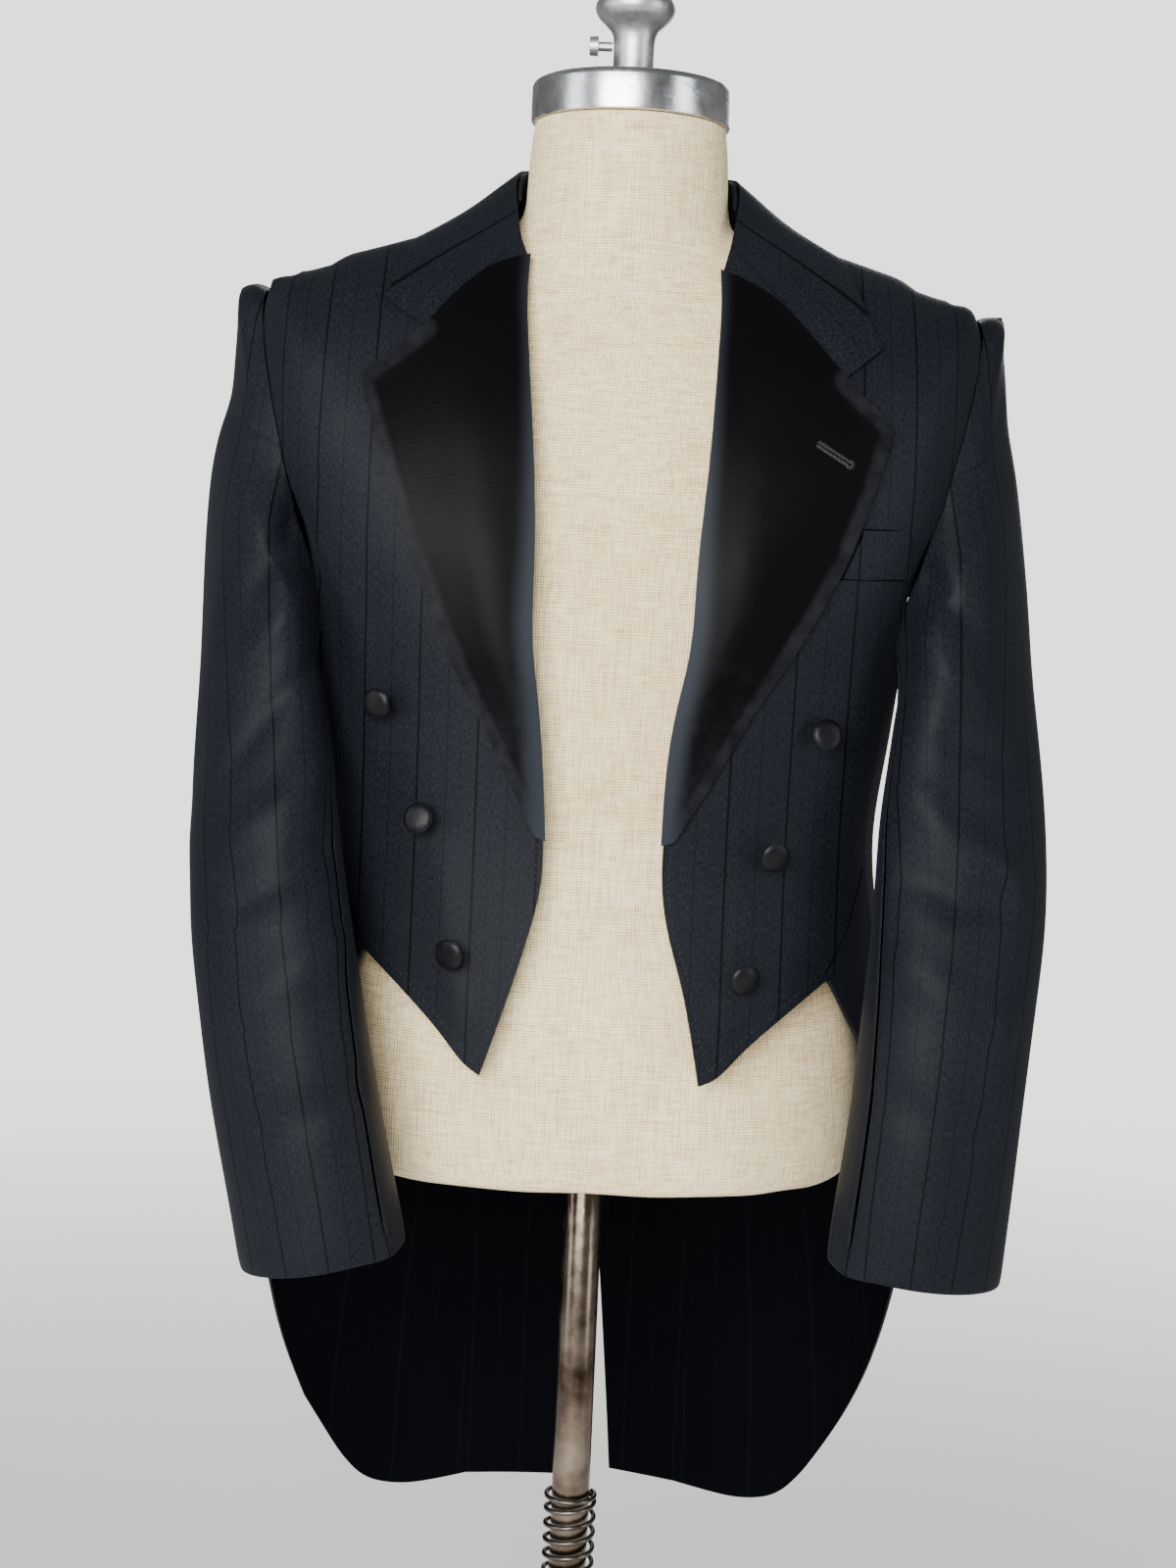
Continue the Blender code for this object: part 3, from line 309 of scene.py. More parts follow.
# Dress form: a padded torso covered in cream linen, pulled smooth and sewn to a band of linen
# round the neck. The cover's weave is coarse, with slubs both ways, and it is stained in places.
def of_solid(node_name, name, levels, sharp=48, fuller=0.0, ease=None):
    """A copy of a solid's mesh, merged, its rims kept sharp, then subdivided smooth.

    fuller swells its wall, which closes the seams. ease is a function that shapes it first.
    """
    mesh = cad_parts[node_name].data.copy()
    ob = bpy.data.objects.new(name, mesh)
    mesh.name = name
    bpy.context.collection.objects.link(ob)
    select_only(ob)
    if mesh.has_custom_normals:
        bpy.ops.mesh.customdata_custom_splitnormals_clear()
    bpy.ops.object.mode_set(mode="EDIT")
    bpy.ops.mesh.select_all(action="SELECT")
    bpy.ops.mesh.remove_doubles(threshold=0.00002)
    bpy.ops.mesh.tris_convert_to_quads(face_threshold=math.radians(38), shape_threshold=math.radians(60))
    bpy.ops.object.mode_set(mode="OBJECT")
    bm = bmesh.new()
    bm.from_mesh(mesh)
    if ease:
        ease(bm)
    bm.normal_update()
    for vert, way in [(v, v.normal.copy()) for v in bm.verts] if fuller else ():
        vert.co += way * fuller
    on_edge = bm.edges.layers.float.new("crease_edge")
    on_corner = bm.verts.layers.float.new("crease_vert")
    for edge in bm.edges:
        on_rim = not ease or any(e.calc_length() < 0.0026 for f in edge.link_faces for e in f.edges)
        if on_rim and len(edge.link_faces) == 2 and edge.calc_face_angle(0.0) > math.radians(sharp):
            edge[on_edge] = 1.0
    for vert in bm.verts:
        rims = [e.other_vert(vert).co - vert.co for e in vert.link_edges if e[on_edge] > 0.5]
        rims.sort(key=lambda way: way.length)
        if len(rims) >= 3 and (-rims[-1]).angle(rims[-2], 0.0) > math.radians(32):
            vert[on_corner] = 1.0
    bm.to_mesh(mesh)
    bm.free()
    if levels:
        smooth = ob.modifiers.new("smooth", "SUBSURF")
        smooth.levels = smooth.render_levels = levels
        bpy.ops.object.modifier_apply(modifier="smooth")
    return ob


def points_of(ob):
    places = np.empty(len(ob.data.vertices) * 3)
    ob.data.vertices.foreach_get("co", places)
    return places.reshape(-1, 3)


def set_points(ob, places):
    ob.data.vertices.foreach_set("co", places.ravel())
    ob.data.update()


def write_values(ob, name, values):
    """A float attribute on the points, for a material to read."""
    ob.data.attributes.new(name, "FLOAT", "POINT").data.foreach_set("value", values)


def near_path(places, path):
    """For each point, how far it is from a path, and how far along the path it is, 0 to 1."""
    path = np.array(path, float)
    parts = np.linalg.norm(np.diff(path, axis=0), axis=1)
    starts = np.concatenate(([0.0], np.cumsum(parts)))
    far = np.full(len(places), 1e9)
    along = np.zeros(len(places))
    for i in range(len(path) - 1):
        way = path[i + 1] - path[i]
        share = np.clip((places - path[i]) @ way / (way @ way), 0, 1)
        gap = np.linalg.norm(places - path[i] - share[:, None] * way, axis=1)
        closer = gap < far
        far[closer] = gap[closer]
        along[closer] = (starts[i] + share[closer] * parts[i]) / starts[-1]
    return far, along


linen, nodes, link, shader = new_material("cream_linen", 0.90, Sheen_Weight=0.12, Specular_IOR_Level=0.25)
place = own_place(nodes)
heights = []
for label, scale in (("weft", (70, 70, 640)), ("warp", (700, 700, 45))):
    turned_way = node(nodes, "Mapping", Scale=scale)
    slubs = node(nodes, "TexNoise", Scale=1.0, Detail=2.5, Roughness=0.55)
    link(place, turned_way.inputs["Vector"])
    join(turned_way, "Vector", slubs, "Vector")
    threads = node(nodes, "TexWave", bands_direction="Z" if label == "weft" else "X", Scale=190.0,
                   Distortion=2.6, Detail=2.0)
    link(place, threads.inputs["Vector"])
    mixed = node(nodes, "Mix")
    mixed.inputs["Factor"].default_value = 0.30
    join(slubs, "Fac", mixed, "A")
    join(threads, "Fac", mixed, "B")
    heights.append(mixed.outputs["Result"])
weave = node(nodes, "Math", operation="ADD")
link(heights[0], weave.inputs[0])
link(heights[1], weave.inputs[1])
cloud = node(nodes, "TexNoise", Scale=7.0, Detail=4.0, Roughness=0.6)
link(place, cloud.inputs["Vector"])
thread_tones = ramp(nodes, ((0.38, (0.50, 0.36, 0.18, 1)), (0.49, (0.80, 0.64, 0.38, 1)),
                            (0.60, (0.96, 0.83, 0.54, 1))))
half_weave = node(nodes, "Math", operation="MULTIPLY")
half_weave.inputs[1].default_value = 0.5
join(weave, "Value", half_weave, 0)
join(half_weave, "Value", thread_tones, "Fac")
cloud_tones = ramp(nodes, ((0.30, (0.90, 0.86, 0.79, 1)), (0.62, (1.0, 1.0, 1.0, 1))))
join(cloud, "Fac", cloud_tones, "Fac")
aged = node(nodes, "Mix", data_type="RGBA", blend_type="MULTIPLY")
aged.inputs[0].default_value = 1.0
join(thread_tones, "Color", aged, 6)
join(cloud_tones, "Color", aged, 7)
color = aged.outputs[2]
for spot, size, stain in (((0.0046, -0.0640, 1.4756), 0.0060, (0.55, 0.33, 0.14, 1)),
                          ((0.0150, -0.0620, 1.4830), 0.0100, (0.66, 0.50, 0.30, 1)),
                          ((0.0532, -0.1195, 0.8876), 0.0022, (0.10, 0.09, 0.08, 1))):
    moved = node(nodes, "VectorMath", operation="DISTANCE")
    moved.inputs[1].default_value = spot
    edge = node(nodes, "MapRange", From_Min=size, From_Max=size * 0.25, To_Max=0.7)
    tint = node(nodes, "Mix", data_type="RGBA")
    link(place, moved.inputs[0])
    join(moved, "Value", edge, "Value")
    join(edge, "Result", tint, 0)
    link(color, tint.inputs[6])
    tint.inputs[7].default_value = stain
    color = tint.outputs[2]
link(color, shader.inputs["Base Color"])
relief = node(nodes, "Bump", Strength=0.45, Distance=0.0007)
join(weave, "Value", relief, "Height")
join(relief, "Normal", shader, "Normal")

form = of_solid("form_body", "form_torso", 3, 70)
places = points_of(form)
NECK_SEAM = [(0.068 * math.sin(a), 0.004 - 0.069 * math.cos(a), 1.4150 - 0.0140 * max(0.0, math.cos(a)) ** 2)
             for a in np.linspace(0, math.tau, 49)]
far, _ = near_path(places, NECK_SEAM)
inward = np.column_stack((places[:, 0], places[:, 1] - 0.004, np.zeros(len(places))))
inward /= np.linalg.norm(inward, axis=1)[:, None] + 1e-9
seam_depth = 0.0011 * np.exp(-(far / 0.0022) ** 2)
set_points(form, places - inward * seam_depth[:, None])
finish_piece(form, "form_torso", linen, 60)
stand_for("form_body")

# Neck ring and fitting: a turned aluminium ring that caps the neck, scratched all round, and a
# cast knob on a stem above it, held by a small round-headed set screw.
ring_metal = metal("ring_aluminium", (0.40, 0.41, 0.42, 1), (0.74, 0.75, 0.76, 1), 0.16, 0.34, 1.0,
                   30.0, 6.0, 0.16, 0.8)
cast_metal = metal("cast_metal", (0.30, 0.305, 0.31, 1), (0.60, 0.61, 0.615, 1), 0.30, 0.52, 1.0,
                   46.0, 1.0, 0.35, 0.2)
ring_low, ring_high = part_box("neck_ring")
base, top = ring_low[2], ring_high[2]
ring = turned("neck_cap", ring_metal, (
    (0.0628, base), (0.0638, base + 0.0006), (0.0640, base + 0.0016), (0.0640, top - 0.0046),
    (0.0637, top - 0.0032), (0.0628, top - 0.0016), (0.0612, top - 0.0005), (0.0590, top),
    (0.0350, top)), 128, angle=30)
stand_for("neck_ring")
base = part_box("neck_fitting")[0][2]
knob_rings = ((0.0150, 0.0), (0.0150, 0.0022), (0.0136, 0.0048), (0.0130, 0.0080), (0.0130, 0.0240),
              (0.0136, 0.0300), (0.0152, 0.0335), (0.0186, 0.0370), (0.0224, 0.0405), (0.0249, 0.0440),
              (0.0257, 0.0470), (0.0252, 0.0502), (0.0232, 0.0535), (0.0198, 0.0564), (0.0150, 0.0590),
              (0.0100, 0.0608), (0.0050, 0.0618))
knob = turned("neck_knob", cast_metal, tuple((r, base + z) for r, z in knob_rings), 72, angle=60)
stand_for("neck_fitting")
screw_low, screw_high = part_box("set_screw")
screw = of_solid("set_screw", "neck_screw", 2, 30)
finish_piece(screw, "neck_screw", cast_metal, 40)
stand_for("set_screw")


# Coat cloth: charcoal worsted in a fine twill, woven with very dark stripes about 40 mm apart and
# fainter ones between. The inside is lined in near-black navy satin that shows the stripes faintly.
STRIPE = 0.0385
stripes, nodes, link, given, result = shader_group("stripes", ("Stripe", "Twill", "Threads"), Spacing=STRIPE)
split = node(nodes, "SeparateXYZ")
join(given, "Place", split, "Vector")
counted = node(nodes, "Math", operation="DIVIDE")
join(split, "X", counted, 0)
join(given, "Spacing", counted, 1)
bands = []
for shift, width, weight in ((0.0, 0.030, 1.0), (0.5, 0.022, 0.42), (0.27, 0.014, 0.22), (0.76, 0.016, 0.26)):
    moved = node(nodes, "Math", operation="ADD")
    moved.inputs[1].default_value = shift
    part = node(nodes, "Math", operation="PINGPONG")
    part.inputs[1].default_value = 0.5
    band = node(nodes, "MapRange", interpolation_type="SMOOTHSTEP", From_Min=width, From_Max=width * 0.25,
                To_Max=weight)
    join(counted, "Value", moved, 0)
    join(moved, "Value", part, 0)
    join(part, "Value", band, "Value")
    bands.append(band.outputs["Result"])
while len(bands) > 1:
    most = node(nodes, "Math", operation="MAXIMUM")
    link(bands.pop(), most.inputs[0])
    link(bands.pop(), most.inputs[1])
    bands.append(most.outputs["Value"])
twill = node(nodes, "TexNoise", Scale=1300.0, Detail=2.0, Roughness=0.7)
join(given, "Place", twill, "Vector")
drawn = node(nodes, "Mapping", Scale=(1200, 300, 1))
threads = node(nodes, "TexNoise", Scale=1.0, Detail=2.0, Roughness=0.6)
join(given, "Place", drawn, "Vector")
join(drawn, "Vector", threads, "Vector")
link(bands[0], result.inputs["Stripe"])
join(twill, "Fac", result, "Twill")
join(threads, "Fac", result, "Threads")


def coat_cloth(name, ground, speck, stripe, rough, sheen, relief_size, stripe_share, shine):
    """A striped cloth: ground and speck colours in the twill, and the stripe over them."""
    made, nodes, link, shader = new_material(name, rough, Specular_IOR_Level=shine, Sheen_Weight=sheen,
                                             Sheen_Roughness=0.45, Sheen_Tint=(0.55, 0.62, 0.75, 1))
    woven = use_group(nodes, stripes, Spacing=STRIPE)
    link(node(nodes, "UVMap", uv_map="cloth").outputs["UV"], woven.inputs["Place"])
    both = node(nodes, "Math", operation="MULTIPLY")
    join(woven, "Twill", both, 0)
    join(woven, "Threads", both, 1)
    tones = ramp(nodes, ((0.15, ground), (0.36, speck)))
    join(both, "Value", tones, "Fac")
    wash = node(nodes, "TexNoise", Scale=9.0, Detail=4.0, Roughness=0.6)
    link(own_place(nodes), wash.inputs["Vector"])
    wash_tones = ramp(nodes, ((0.3, (0.70, 0.71, 0.75, 1)), (0.7, (1.0, 1.0, 1.0, 1))))
    join(wash, "Fac", wash_tones, "Fac")
    worn = node(nodes, "Mix", data_type="RGBA", blend_type="MULTIPLY")
    worn.inputs[0].default_value = 1.0
    join(tones, "Color", worn, 6)
    join(wash_tones, "Color", worn, 7)
    share = node(nodes, "Math", operation="MULTIPLY")
    share.inputs[1].default_value = stripe_share
    join(woven, "Stripe", share, 0)
    striped = node(nodes, "Mix", data_type="RGBA")
    striped.inputs[7].default_value = stripe
    join(share, "Value", striped, 0)
    join(worn, 2, striped, 6)
    join(striped, 2, shader, "Base Color")
    roughness = node(nodes, "MapRange", To_Min=rough - 0.10, To_Max=rough + 0.12)
    join(woven, "Twill", roughness, "Value")
    join(roughness, "Result", shader, "Roughness")
    height = node(nodes, "Math", operation="MULTIPLY_ADD")
    height.inputs[1].default_value = -0.5
    join(woven, "Stripe", height, 0)
    join(both, "Value", height, 2)
    relief = node(nodes, "Bump", Strength=0.35, Distance=relief_size)
    join(height, "Value", relief, "Height")
    join(relief, "Normal", shader, "Normal")
    return made


worsted = coat_cloth("charcoal_worsted", (0.0022, 0.0027, 0.0040, 1), (0.0120, 0.0144, 0.0195, 1),
                     (0.0002, 0.0003, 0.0005, 1), 0.54, 0.02, 0.0002, 0.96, 0.08)
lining = coat_cloth("navy_lining", (0.0006, 0.0007, 0.0013, 1), (0.0016, 0.0019, 0.0034, 1),
                    (0.0030, 0.0036, 0.0060, 1), 0.55, 0.0, 0.0002, 0.35, 0.02)


def body_outward(places):
    """Which way is out of the body at each point, up over the shoulders and level below."""
    lift = np.clip((places[:, 2] - 1.26) / 0.12, 0, 1) ** 2
    away = np.column_stack((places[:, 0] / 0.040, (places[:, 1] - 0.01) / 0.017, 9.0 * lift))
    return away / (np.linalg.norm(away, axis=1)[:, None] + 1e-9)


def press(places, outward, folds):
    """Soft troughs and ridges: each fold has its path, half width and height, in mm."""
    shift = np.zeros(len(places))
    for path, wide, rise in folds:
        far, along = near_path(places, np.array(path) / 1000)
        ends = np.clip(np.minimum(along, 1 - along) / 0.22, 0, 1)
        shift += rise / 1000 * np.exp(-(far / wide * 1000) ** 2) * (0.15 + 0.85 * np.sin(ends * math.pi / 2))
    return places + outward * shift[:, None]


def drape(places, outward, size, rise, seed):
    """The slight unevenness of hung cloth."""
    shift = np.array([noise.noise(Vector((p[0] * size + seed, p[1] * size, p[2] * size * 0.7)))
                      for p in places])
    return places + outward * (shift * rise)[:, None]


def lay_cloth_map(ob, across, along):
    """The piece's own map: metres across and along the cloth's stripes."""
    layer = ob.data.uv_layers.new(name="cloth")
    corners = np.empty(len(ob.data.loops), dtype=np.int64)
    ob.data.loops.foreach_get("vertex_index", corners)
    layer.data.foreach_set("uv", np.column_stack((across[corners], along[corners])).ravel())
    for other in [u.name for u in ob.data.uv_layers if u.name != "cloth"]:
        ob.data.uv_layers.remove(ob.data.uv_layers[other])


def line_inside(ob, outward, inner):
    """Gives the wall's inner side the lining's material."""
    ob.data.materials.append(inner)
    centres = np.empty(len(ob.data.polygons) * 3)
    normals = np.empty(len(ob.data.polygons) * 3)
    ob.data.polygons.foreach_get("center", centres)
    ob.data.polygons.foreach_get("normal", normals)
    away = outward(centres.reshape(-1, 3))
    inside = (normals.reshape(-1, 3) * away).sum(axis=1) < -0.25
    ob.data.polygons.foreach_set("material_index", inside.astype(np.int32))
    ob.data.update()


ROUND = np.linspace(0, math.pi / 2, 90)
ROUND_X = 0.225 * np.sin(ROUND)
ROUND_LENGTH = np.concatenate(([0.0], np.cumsum(np.hypot(np.diff(ROUND_X), np.diff(0.135 * np.cos(ROUND))))))


def round_body(places):
    """How far round the cloth each point is from the middle, by its x, so that stripes hang straight."""
    return np.sign(places[:, 0]) * np.interp(np.abs(places[:, 0]), ROUND_X, ROUND_LENGTH)


CLOTH_LEVELS = 3           # subdivisions of a cloth piece
SEAM_FULLER = 0.0005       # how far a cloth wall swells, to meet its neighbour at the seam
BODY_UNEVEN = (14.0, 0.0012, 3.0)       # size, height and place in the noise, as drape takes them


def dress(kind, side, folds, uneven, across, outward, inner, mat=None, ease=None, fit=None):
    """One cloth piece on its solid's form, folded, mapped and lined."""
    node_name = kind + ("_" + side if side else "")
    ob = of_solid(node_name, "cloth_" + node_name, CLOTH_LEVELS, fuller=SEAM_FULLER, ease=ease)
    places = points_of(ob)
    if fit:
        places = fit(places)
    plain_across = across(places)
    along = places[:, 2].copy()
    if kind.startswith("collar"):
        along -= np.hypot(places[:, 0], places[:, 1])
    away = outward(places)
    places = press(places, away, folds)
    if uneven:
        places = drape(places, away, *uneven)
    set_points(ob, places)
    lay_cloth_map(ob, plain_across, along)
    finish_piece(ob, "cloth_" + node_name, mat or worsted, 50)
    if inner:
        line_inside(ob, outward, inner)
    stand_for(node_name)
    return ob


# Coat body: forepart, side body, and a back cut in one with the strip beside the vent. They are
# sewn edge to edge, hang from the form's shoulders, and pull a little below the arms.
SIDES = {"right": -1.0, "left": 1.0}


def shoulder_line(side):
    """The shoulder is full half way along and settles at its tip, in front and behind alike."""
    x = SIDES[side]
    full = ((x * 110, -4, 1412), (x * 145, -2, 1398), (x * 186, 0, 1388))
    tip = ((x * 205, 0, 1382), (x * 222, 0, 1378), (x * 240, 0, 1374))
    return ((full, 40, 4.5), (tip, 24, -8.5))


FRONT_FOLDS = {
    "right": (
        (((-200, -70, 1245), (-186, -88, 1185), (-172, -100, 1110)), 11, -4),
        (((-186, -86, 1225), (-170, -103, 1165), (-160, -108, 1090)), 10, 2.4),
        (((-150, -112, 1210), (-140, -118, 1120), (-132, -120, 1030)), 14, -1.8),
        (((-165, -95, 1080), (-150, -110, 1010), (-135, -118, 960)), 12, 2),
        (((-100, -120, 1040), (-92, -130, 980), (-78, -138, 915)), 11, 1.6),
        (((-205, -30, 1345), (-190, -75, 1300), (-172, -100, 1255)), 16, 1.8),
    ),
    "left": (
        (((196, -70, 1235), (184, -88, 1175), (172, -100, 1100)), 11, -3.6),
        (((184, -88, 1180), (168, -104, 1120), (160, -108, 1050)), 10, 2.2),
        (((140, -116, 1170), (132, -122, 1090), (120, -126, 1000)), 14, -1.6),
        (((163, -95, 1060), (150, -110, 1000), (132, -120, 950)), 12, 2),
        (((96, -122, 1030), (90, -132, 970), (78, -138, 915)), 11, 1.4),
        (((205, -30, 1345), (190, -75, 1295), (172, -100, 1250)), 16, 1.6),
    ),
}
BACK_FOLDS = {
    "right": (
        (((-200, 60, 1270), (-150, 105, 1240), (-80, 118, 1230)), 16, 2.8),
        (((-190, 70, 1220), (-150, 100, 1150), (-120, 108, 1060)), 14, -3),
        (((-60, 114, 1060), (-50, 110, 1010), (-20, 112, 985)), 10, 1.8),
    ),
    "left": (
        (((200, 60, 1260), (150, 105, 1225), (75, 118, 1220)), 16, 2.6),
        (((190, 70, 1210), (150, 100, 1140), (118, 108, 1050)), 14, -2.8),
        (((55, 114, 1050), (48, 110, 1005), (20, 112, 980)), 10, 1.8),
    ),
}
TAIL_FOLDS = {
    "right": (
        (((-150, 60, 950), (-165, 85, 800), (-175, 110, 660)), 20, -3),
        (((-120, 100, 930), (-130, 130, 780), (-135, 150, 600)), 18, 3),
    ),
    "left": (
        (((150, 60, 950), (168, 85, 800), (180, 110, 660)), 20, -2.8),
        (((118, 100, 930), (126, 130, 780), (130, 150, 600)), 18, 3.2),
    ),
}


def side_round(places):
    """Across the side body, where the cloth turns from front to back."""
    turn = np.arctan2(places[:, 0] / 0.190, -(places[:, 1] - 0.005) / 0.125)
    return turn * 0.158


def tail_round(places):
    """The tails stand farther out behind than the body, so the same turn is more cloth."""
    return side_round(places) * 1.3


bodies = {}
for side in SIDES:
    bodies[side] = [
        dress("front", side, FRONT_FOLDS[side] + shoulder_line(side), BODY_UNEVEN, round_body,
              body_outward, lining),
        dress("side", side, (), BODY_UNEVEN, side_round, body_outward, lining),
        dress("back", side, BACK_FOLDS[side] + shoulder_line(side), BODY_UNEVEN, round_body,
              body_outward, lining)]
    dress("tail", side, TAIL_FOLDS[side], BODY_UNEVEN, tail_round, body_outward, lining)

# Collar: the same worsted cut across, so that its stripes run out from the neck, folded over a
# stand that is sewn into the neck edge.
def collar_outward(places):
    away = np.column_stack((places[:, 0], places[:, 1] - 0.006, np.full(len(places), 0.05)))
    return away / np.linalg.norm(away, axis=1)[:, None]


def collar_round(places):
    return np.arctan2(places[:, 0], places[:, 1] - 0.004) * 0.095


dress("collar", "", (), (22.0, 0.0005, 2.0), collar_round, collar_outward, lining)
dress("collar_stand", "", (), None, collar_round, collar_outward, None)

# Breast welt: a narrow band of the same cloth, stitched down at both ends, its stripes matched to
# the forepart's.
dress("breast_welt", "", (), None, round_body, body_outward, None)

# Sleeves: two-piece, a wide top sleeve and a narrow under sleeve, set into the armholes and bent
# forward. They hang empty, so drag folds run from the armpit and round the elbow.
ARMS = {
    "right": ((-0.215, -0.002, 1.275), (-0.225, -0.020, 1.205), (-0.219, -0.047, 1.135), (-0.212, -0.066, 1.085),
              (-0.205, -0.094, 1.030), (-0.196, -0.121, 0.975), (-0.186, -0.135, 0.920), (-0.174, -0.142, 0.865),
              (-0.163, -0.145, 0.816), (-0.156, -0.146, 0.780)),
    "left": ((0.215, -0.002, 1.275), (0.226, -0.020, 1.205), (0.227, -0.047, 1.127), (0.226, -0.064, 1.077),
             (0.225, -0.084, 1.026), (0.222, -0.103, 0.974), (0.217, -0.116, 0.921), (0.212, -0.122, 0.868),
             (0.207, -0.124, 0.819), (0.204, -0.124, 0.781)),
}
SLEEVE_FOLDS = {
    "right": (
        (((-196, -70, 1235), (-205, -98, 1205), (-235, -110, 1165)), 9, -3.6),
        (((-186, -80, 1190), (-200, -108, 1165), (-240, -112, 1120)), 11, 3.2),
        (((-178, -85, 1150), (-195, -118, 1120), (-235, -128, 1070)), 10, -3.4),
        (((-165, -110, 1090), (-185, -142, 1060), (-228, -145, 1025)), 13, 3),
        (((-158, -130, 1040), (-180, -158, 1015), (-220, -160, 990)), 11, -3),
        (((-150, -150, 985), (-170, -175, 965), (-210, -172, 930)), 14, 2.6),
        (((-130, -165, 900), (-160, -186, 880), (-200, -178, 865)), 12, -1.8),
        (((-254, -20, 1330), (-246, -50, 1310), (-232, -70, 1300)), 8, -3),
        (((-225, -52, 1345), (-215, -70, 1300), (-205, -82, 1260)), 9, 2.2),
        (((-232, -52, 1352), (-242, 0, 1378), (-232, 52, 1352)), 17, 4.2),
    ),
    "left": (
        (((190, -74, 1215), (208, -104, 1190), (240, -112, 1170)), 9, -3.4),
        (((188, -84, 1180), (208, -110, 1150), (250, -110, 1125)), 11, 3),
        (((186, -90, 1130), (215, -122, 1110), (262, -110, 1100)), 11, -3),
        (((180, -110, 1085), (210, -135, 1055), (262, -128, 1020)), 13, 3),
        (((180, -125, 1030), (215, -148, 1015), (262, -140, 1020)), 12, -3.6),
        (((176, -140, 985), (210, -160, 960), (258, -145, 930)), 14, 2.6),
        (((172, -150, 900), (205, -172, 885), (250, -160, 870)), 12, -1.8),
        (((254, -20, 1325), (246, -50, 1305), (230, -70, 1290)), 8, -2.6),
        (((222, -52, 1340), (212, -70, 1295), (204, -82, 1250)), 9, 2.2),
        (((232, -52, 1352), (242, 0, 1378), (232, 52, 1352)), 17, 4.2),
    ),
}


FOLD_DEPTH = 1.55          # the sleeves' cloth is loose, so its folds run deeper than the tables say
SLEEVE_FOLDS = {side: [(path, wide, rise * FOLD_DEPTH) for path, wide, rise in folds]
                for side, folds in SLEEVE_FOLDS.items()}


def about_arm(side):
    """Outward and round-the-arm functions for this sleeve."""
    middle = np.array(ARMS[side])

    def nearest(places):
        best = np.full(len(places), 1e9)
        centre = np.zeros((len(places), 3))
        way = np.zeros((len(places), 3))
        for a, b in zip(middle, middle[1:]):
            step = b - a
            share = np.clip((places - a) @ step / (step @ step), 0, 1)
            foot_of = a + share[:, None] * step
            gap = np.linalg.norm(places - foot_of, axis=1)
            closer = gap < best
            best[closer] = gap[closer]
            centre[closer] = foot_of[closer]
            way[closer] = step / np.linalg.norm(step)
        return centre, way

    def outward(places):
        centre, _ = nearest(places)
        away = places - centre
        return away / (np.linalg.norm(away, axis=1)[:, None] + 1e-9)

    def around(places):
        centre, way = nearest(places)
        away = places - centre
        out = np.array((SIDES[side], 0.0, 0.0))
        out = out - (way @ out)[:, None] * way
        out /= np.linalg.norm(out, axis=1)[:, None]
        ahead = np.cross(way, out)
        return np.arctan2((away * ahead).sum(axis=1), (away * out).sum(axis=1)) * 0.066

    return outward, around


ARMHOLE = (          # the armhole's seam round the wearer's left arm, from the shoulder tip forward
    (0.2275, 0.0001, 1.3764), (0.2274, -0.0250, 1.3685), (0.2248, -0.0422, 1.3501), (0.2211, -0.0527, 1.3287),
    (0.2163, -0.0606, 1.3043), (0.2097, -0.0679, 1.2774), (0.2025, -0.0734, 1.2517), (0.1942, -0.0762, 1.2265),
    (0.1862, -0.0761, 1.2024), (0.1803, -0.0722, 1.1794), (0.1790, -0.0648, 1.1621), (0.1821, -0.0531, 1.1541),
    (0.1856, -0.0381, 1.1501), (0.1880, -0.0207, 1.1477), (0.1889, 0.0026, 1.1474), (0.1883, 0.0217, 1.1491),
    (0.1867, 0.0353, 1.1541), (0.1851, 0.0469, 1.1644), (0.1851, 0.0561, 1.1804), (0.1890, 0.0623, 1.2034),
    (0.1952, 0.0661, 1.2301), (0.2011, 0.0677, 1.2557), (0.2063, 0.0666, 1.2805), (0.2126, 0.0615, 1.3076),
    (0.2186, 0.0537, 1.3331), (0.2231, 0.0437, 1.3533), (0.2259, 0.0318, 1.3669), (0.2275, 0.0001, 1.3764),
)


def fade(values, near, far):
    """1 up to near, 0 from far on, smooth between."""
    share = np.clip((far - values) / (far - near), 0, 1)
    return share * share * (3 - 2 * share)


SEAM_REST, SEAM_KEEP = 0.0008, 0.06     # metres from the seam, and the share of its distance kept
SNAP_BAND, SNAP_REACH, SNAP_CLEAR = 0.019, 0.020, 0.0002
EASE_ROUNDS = 9


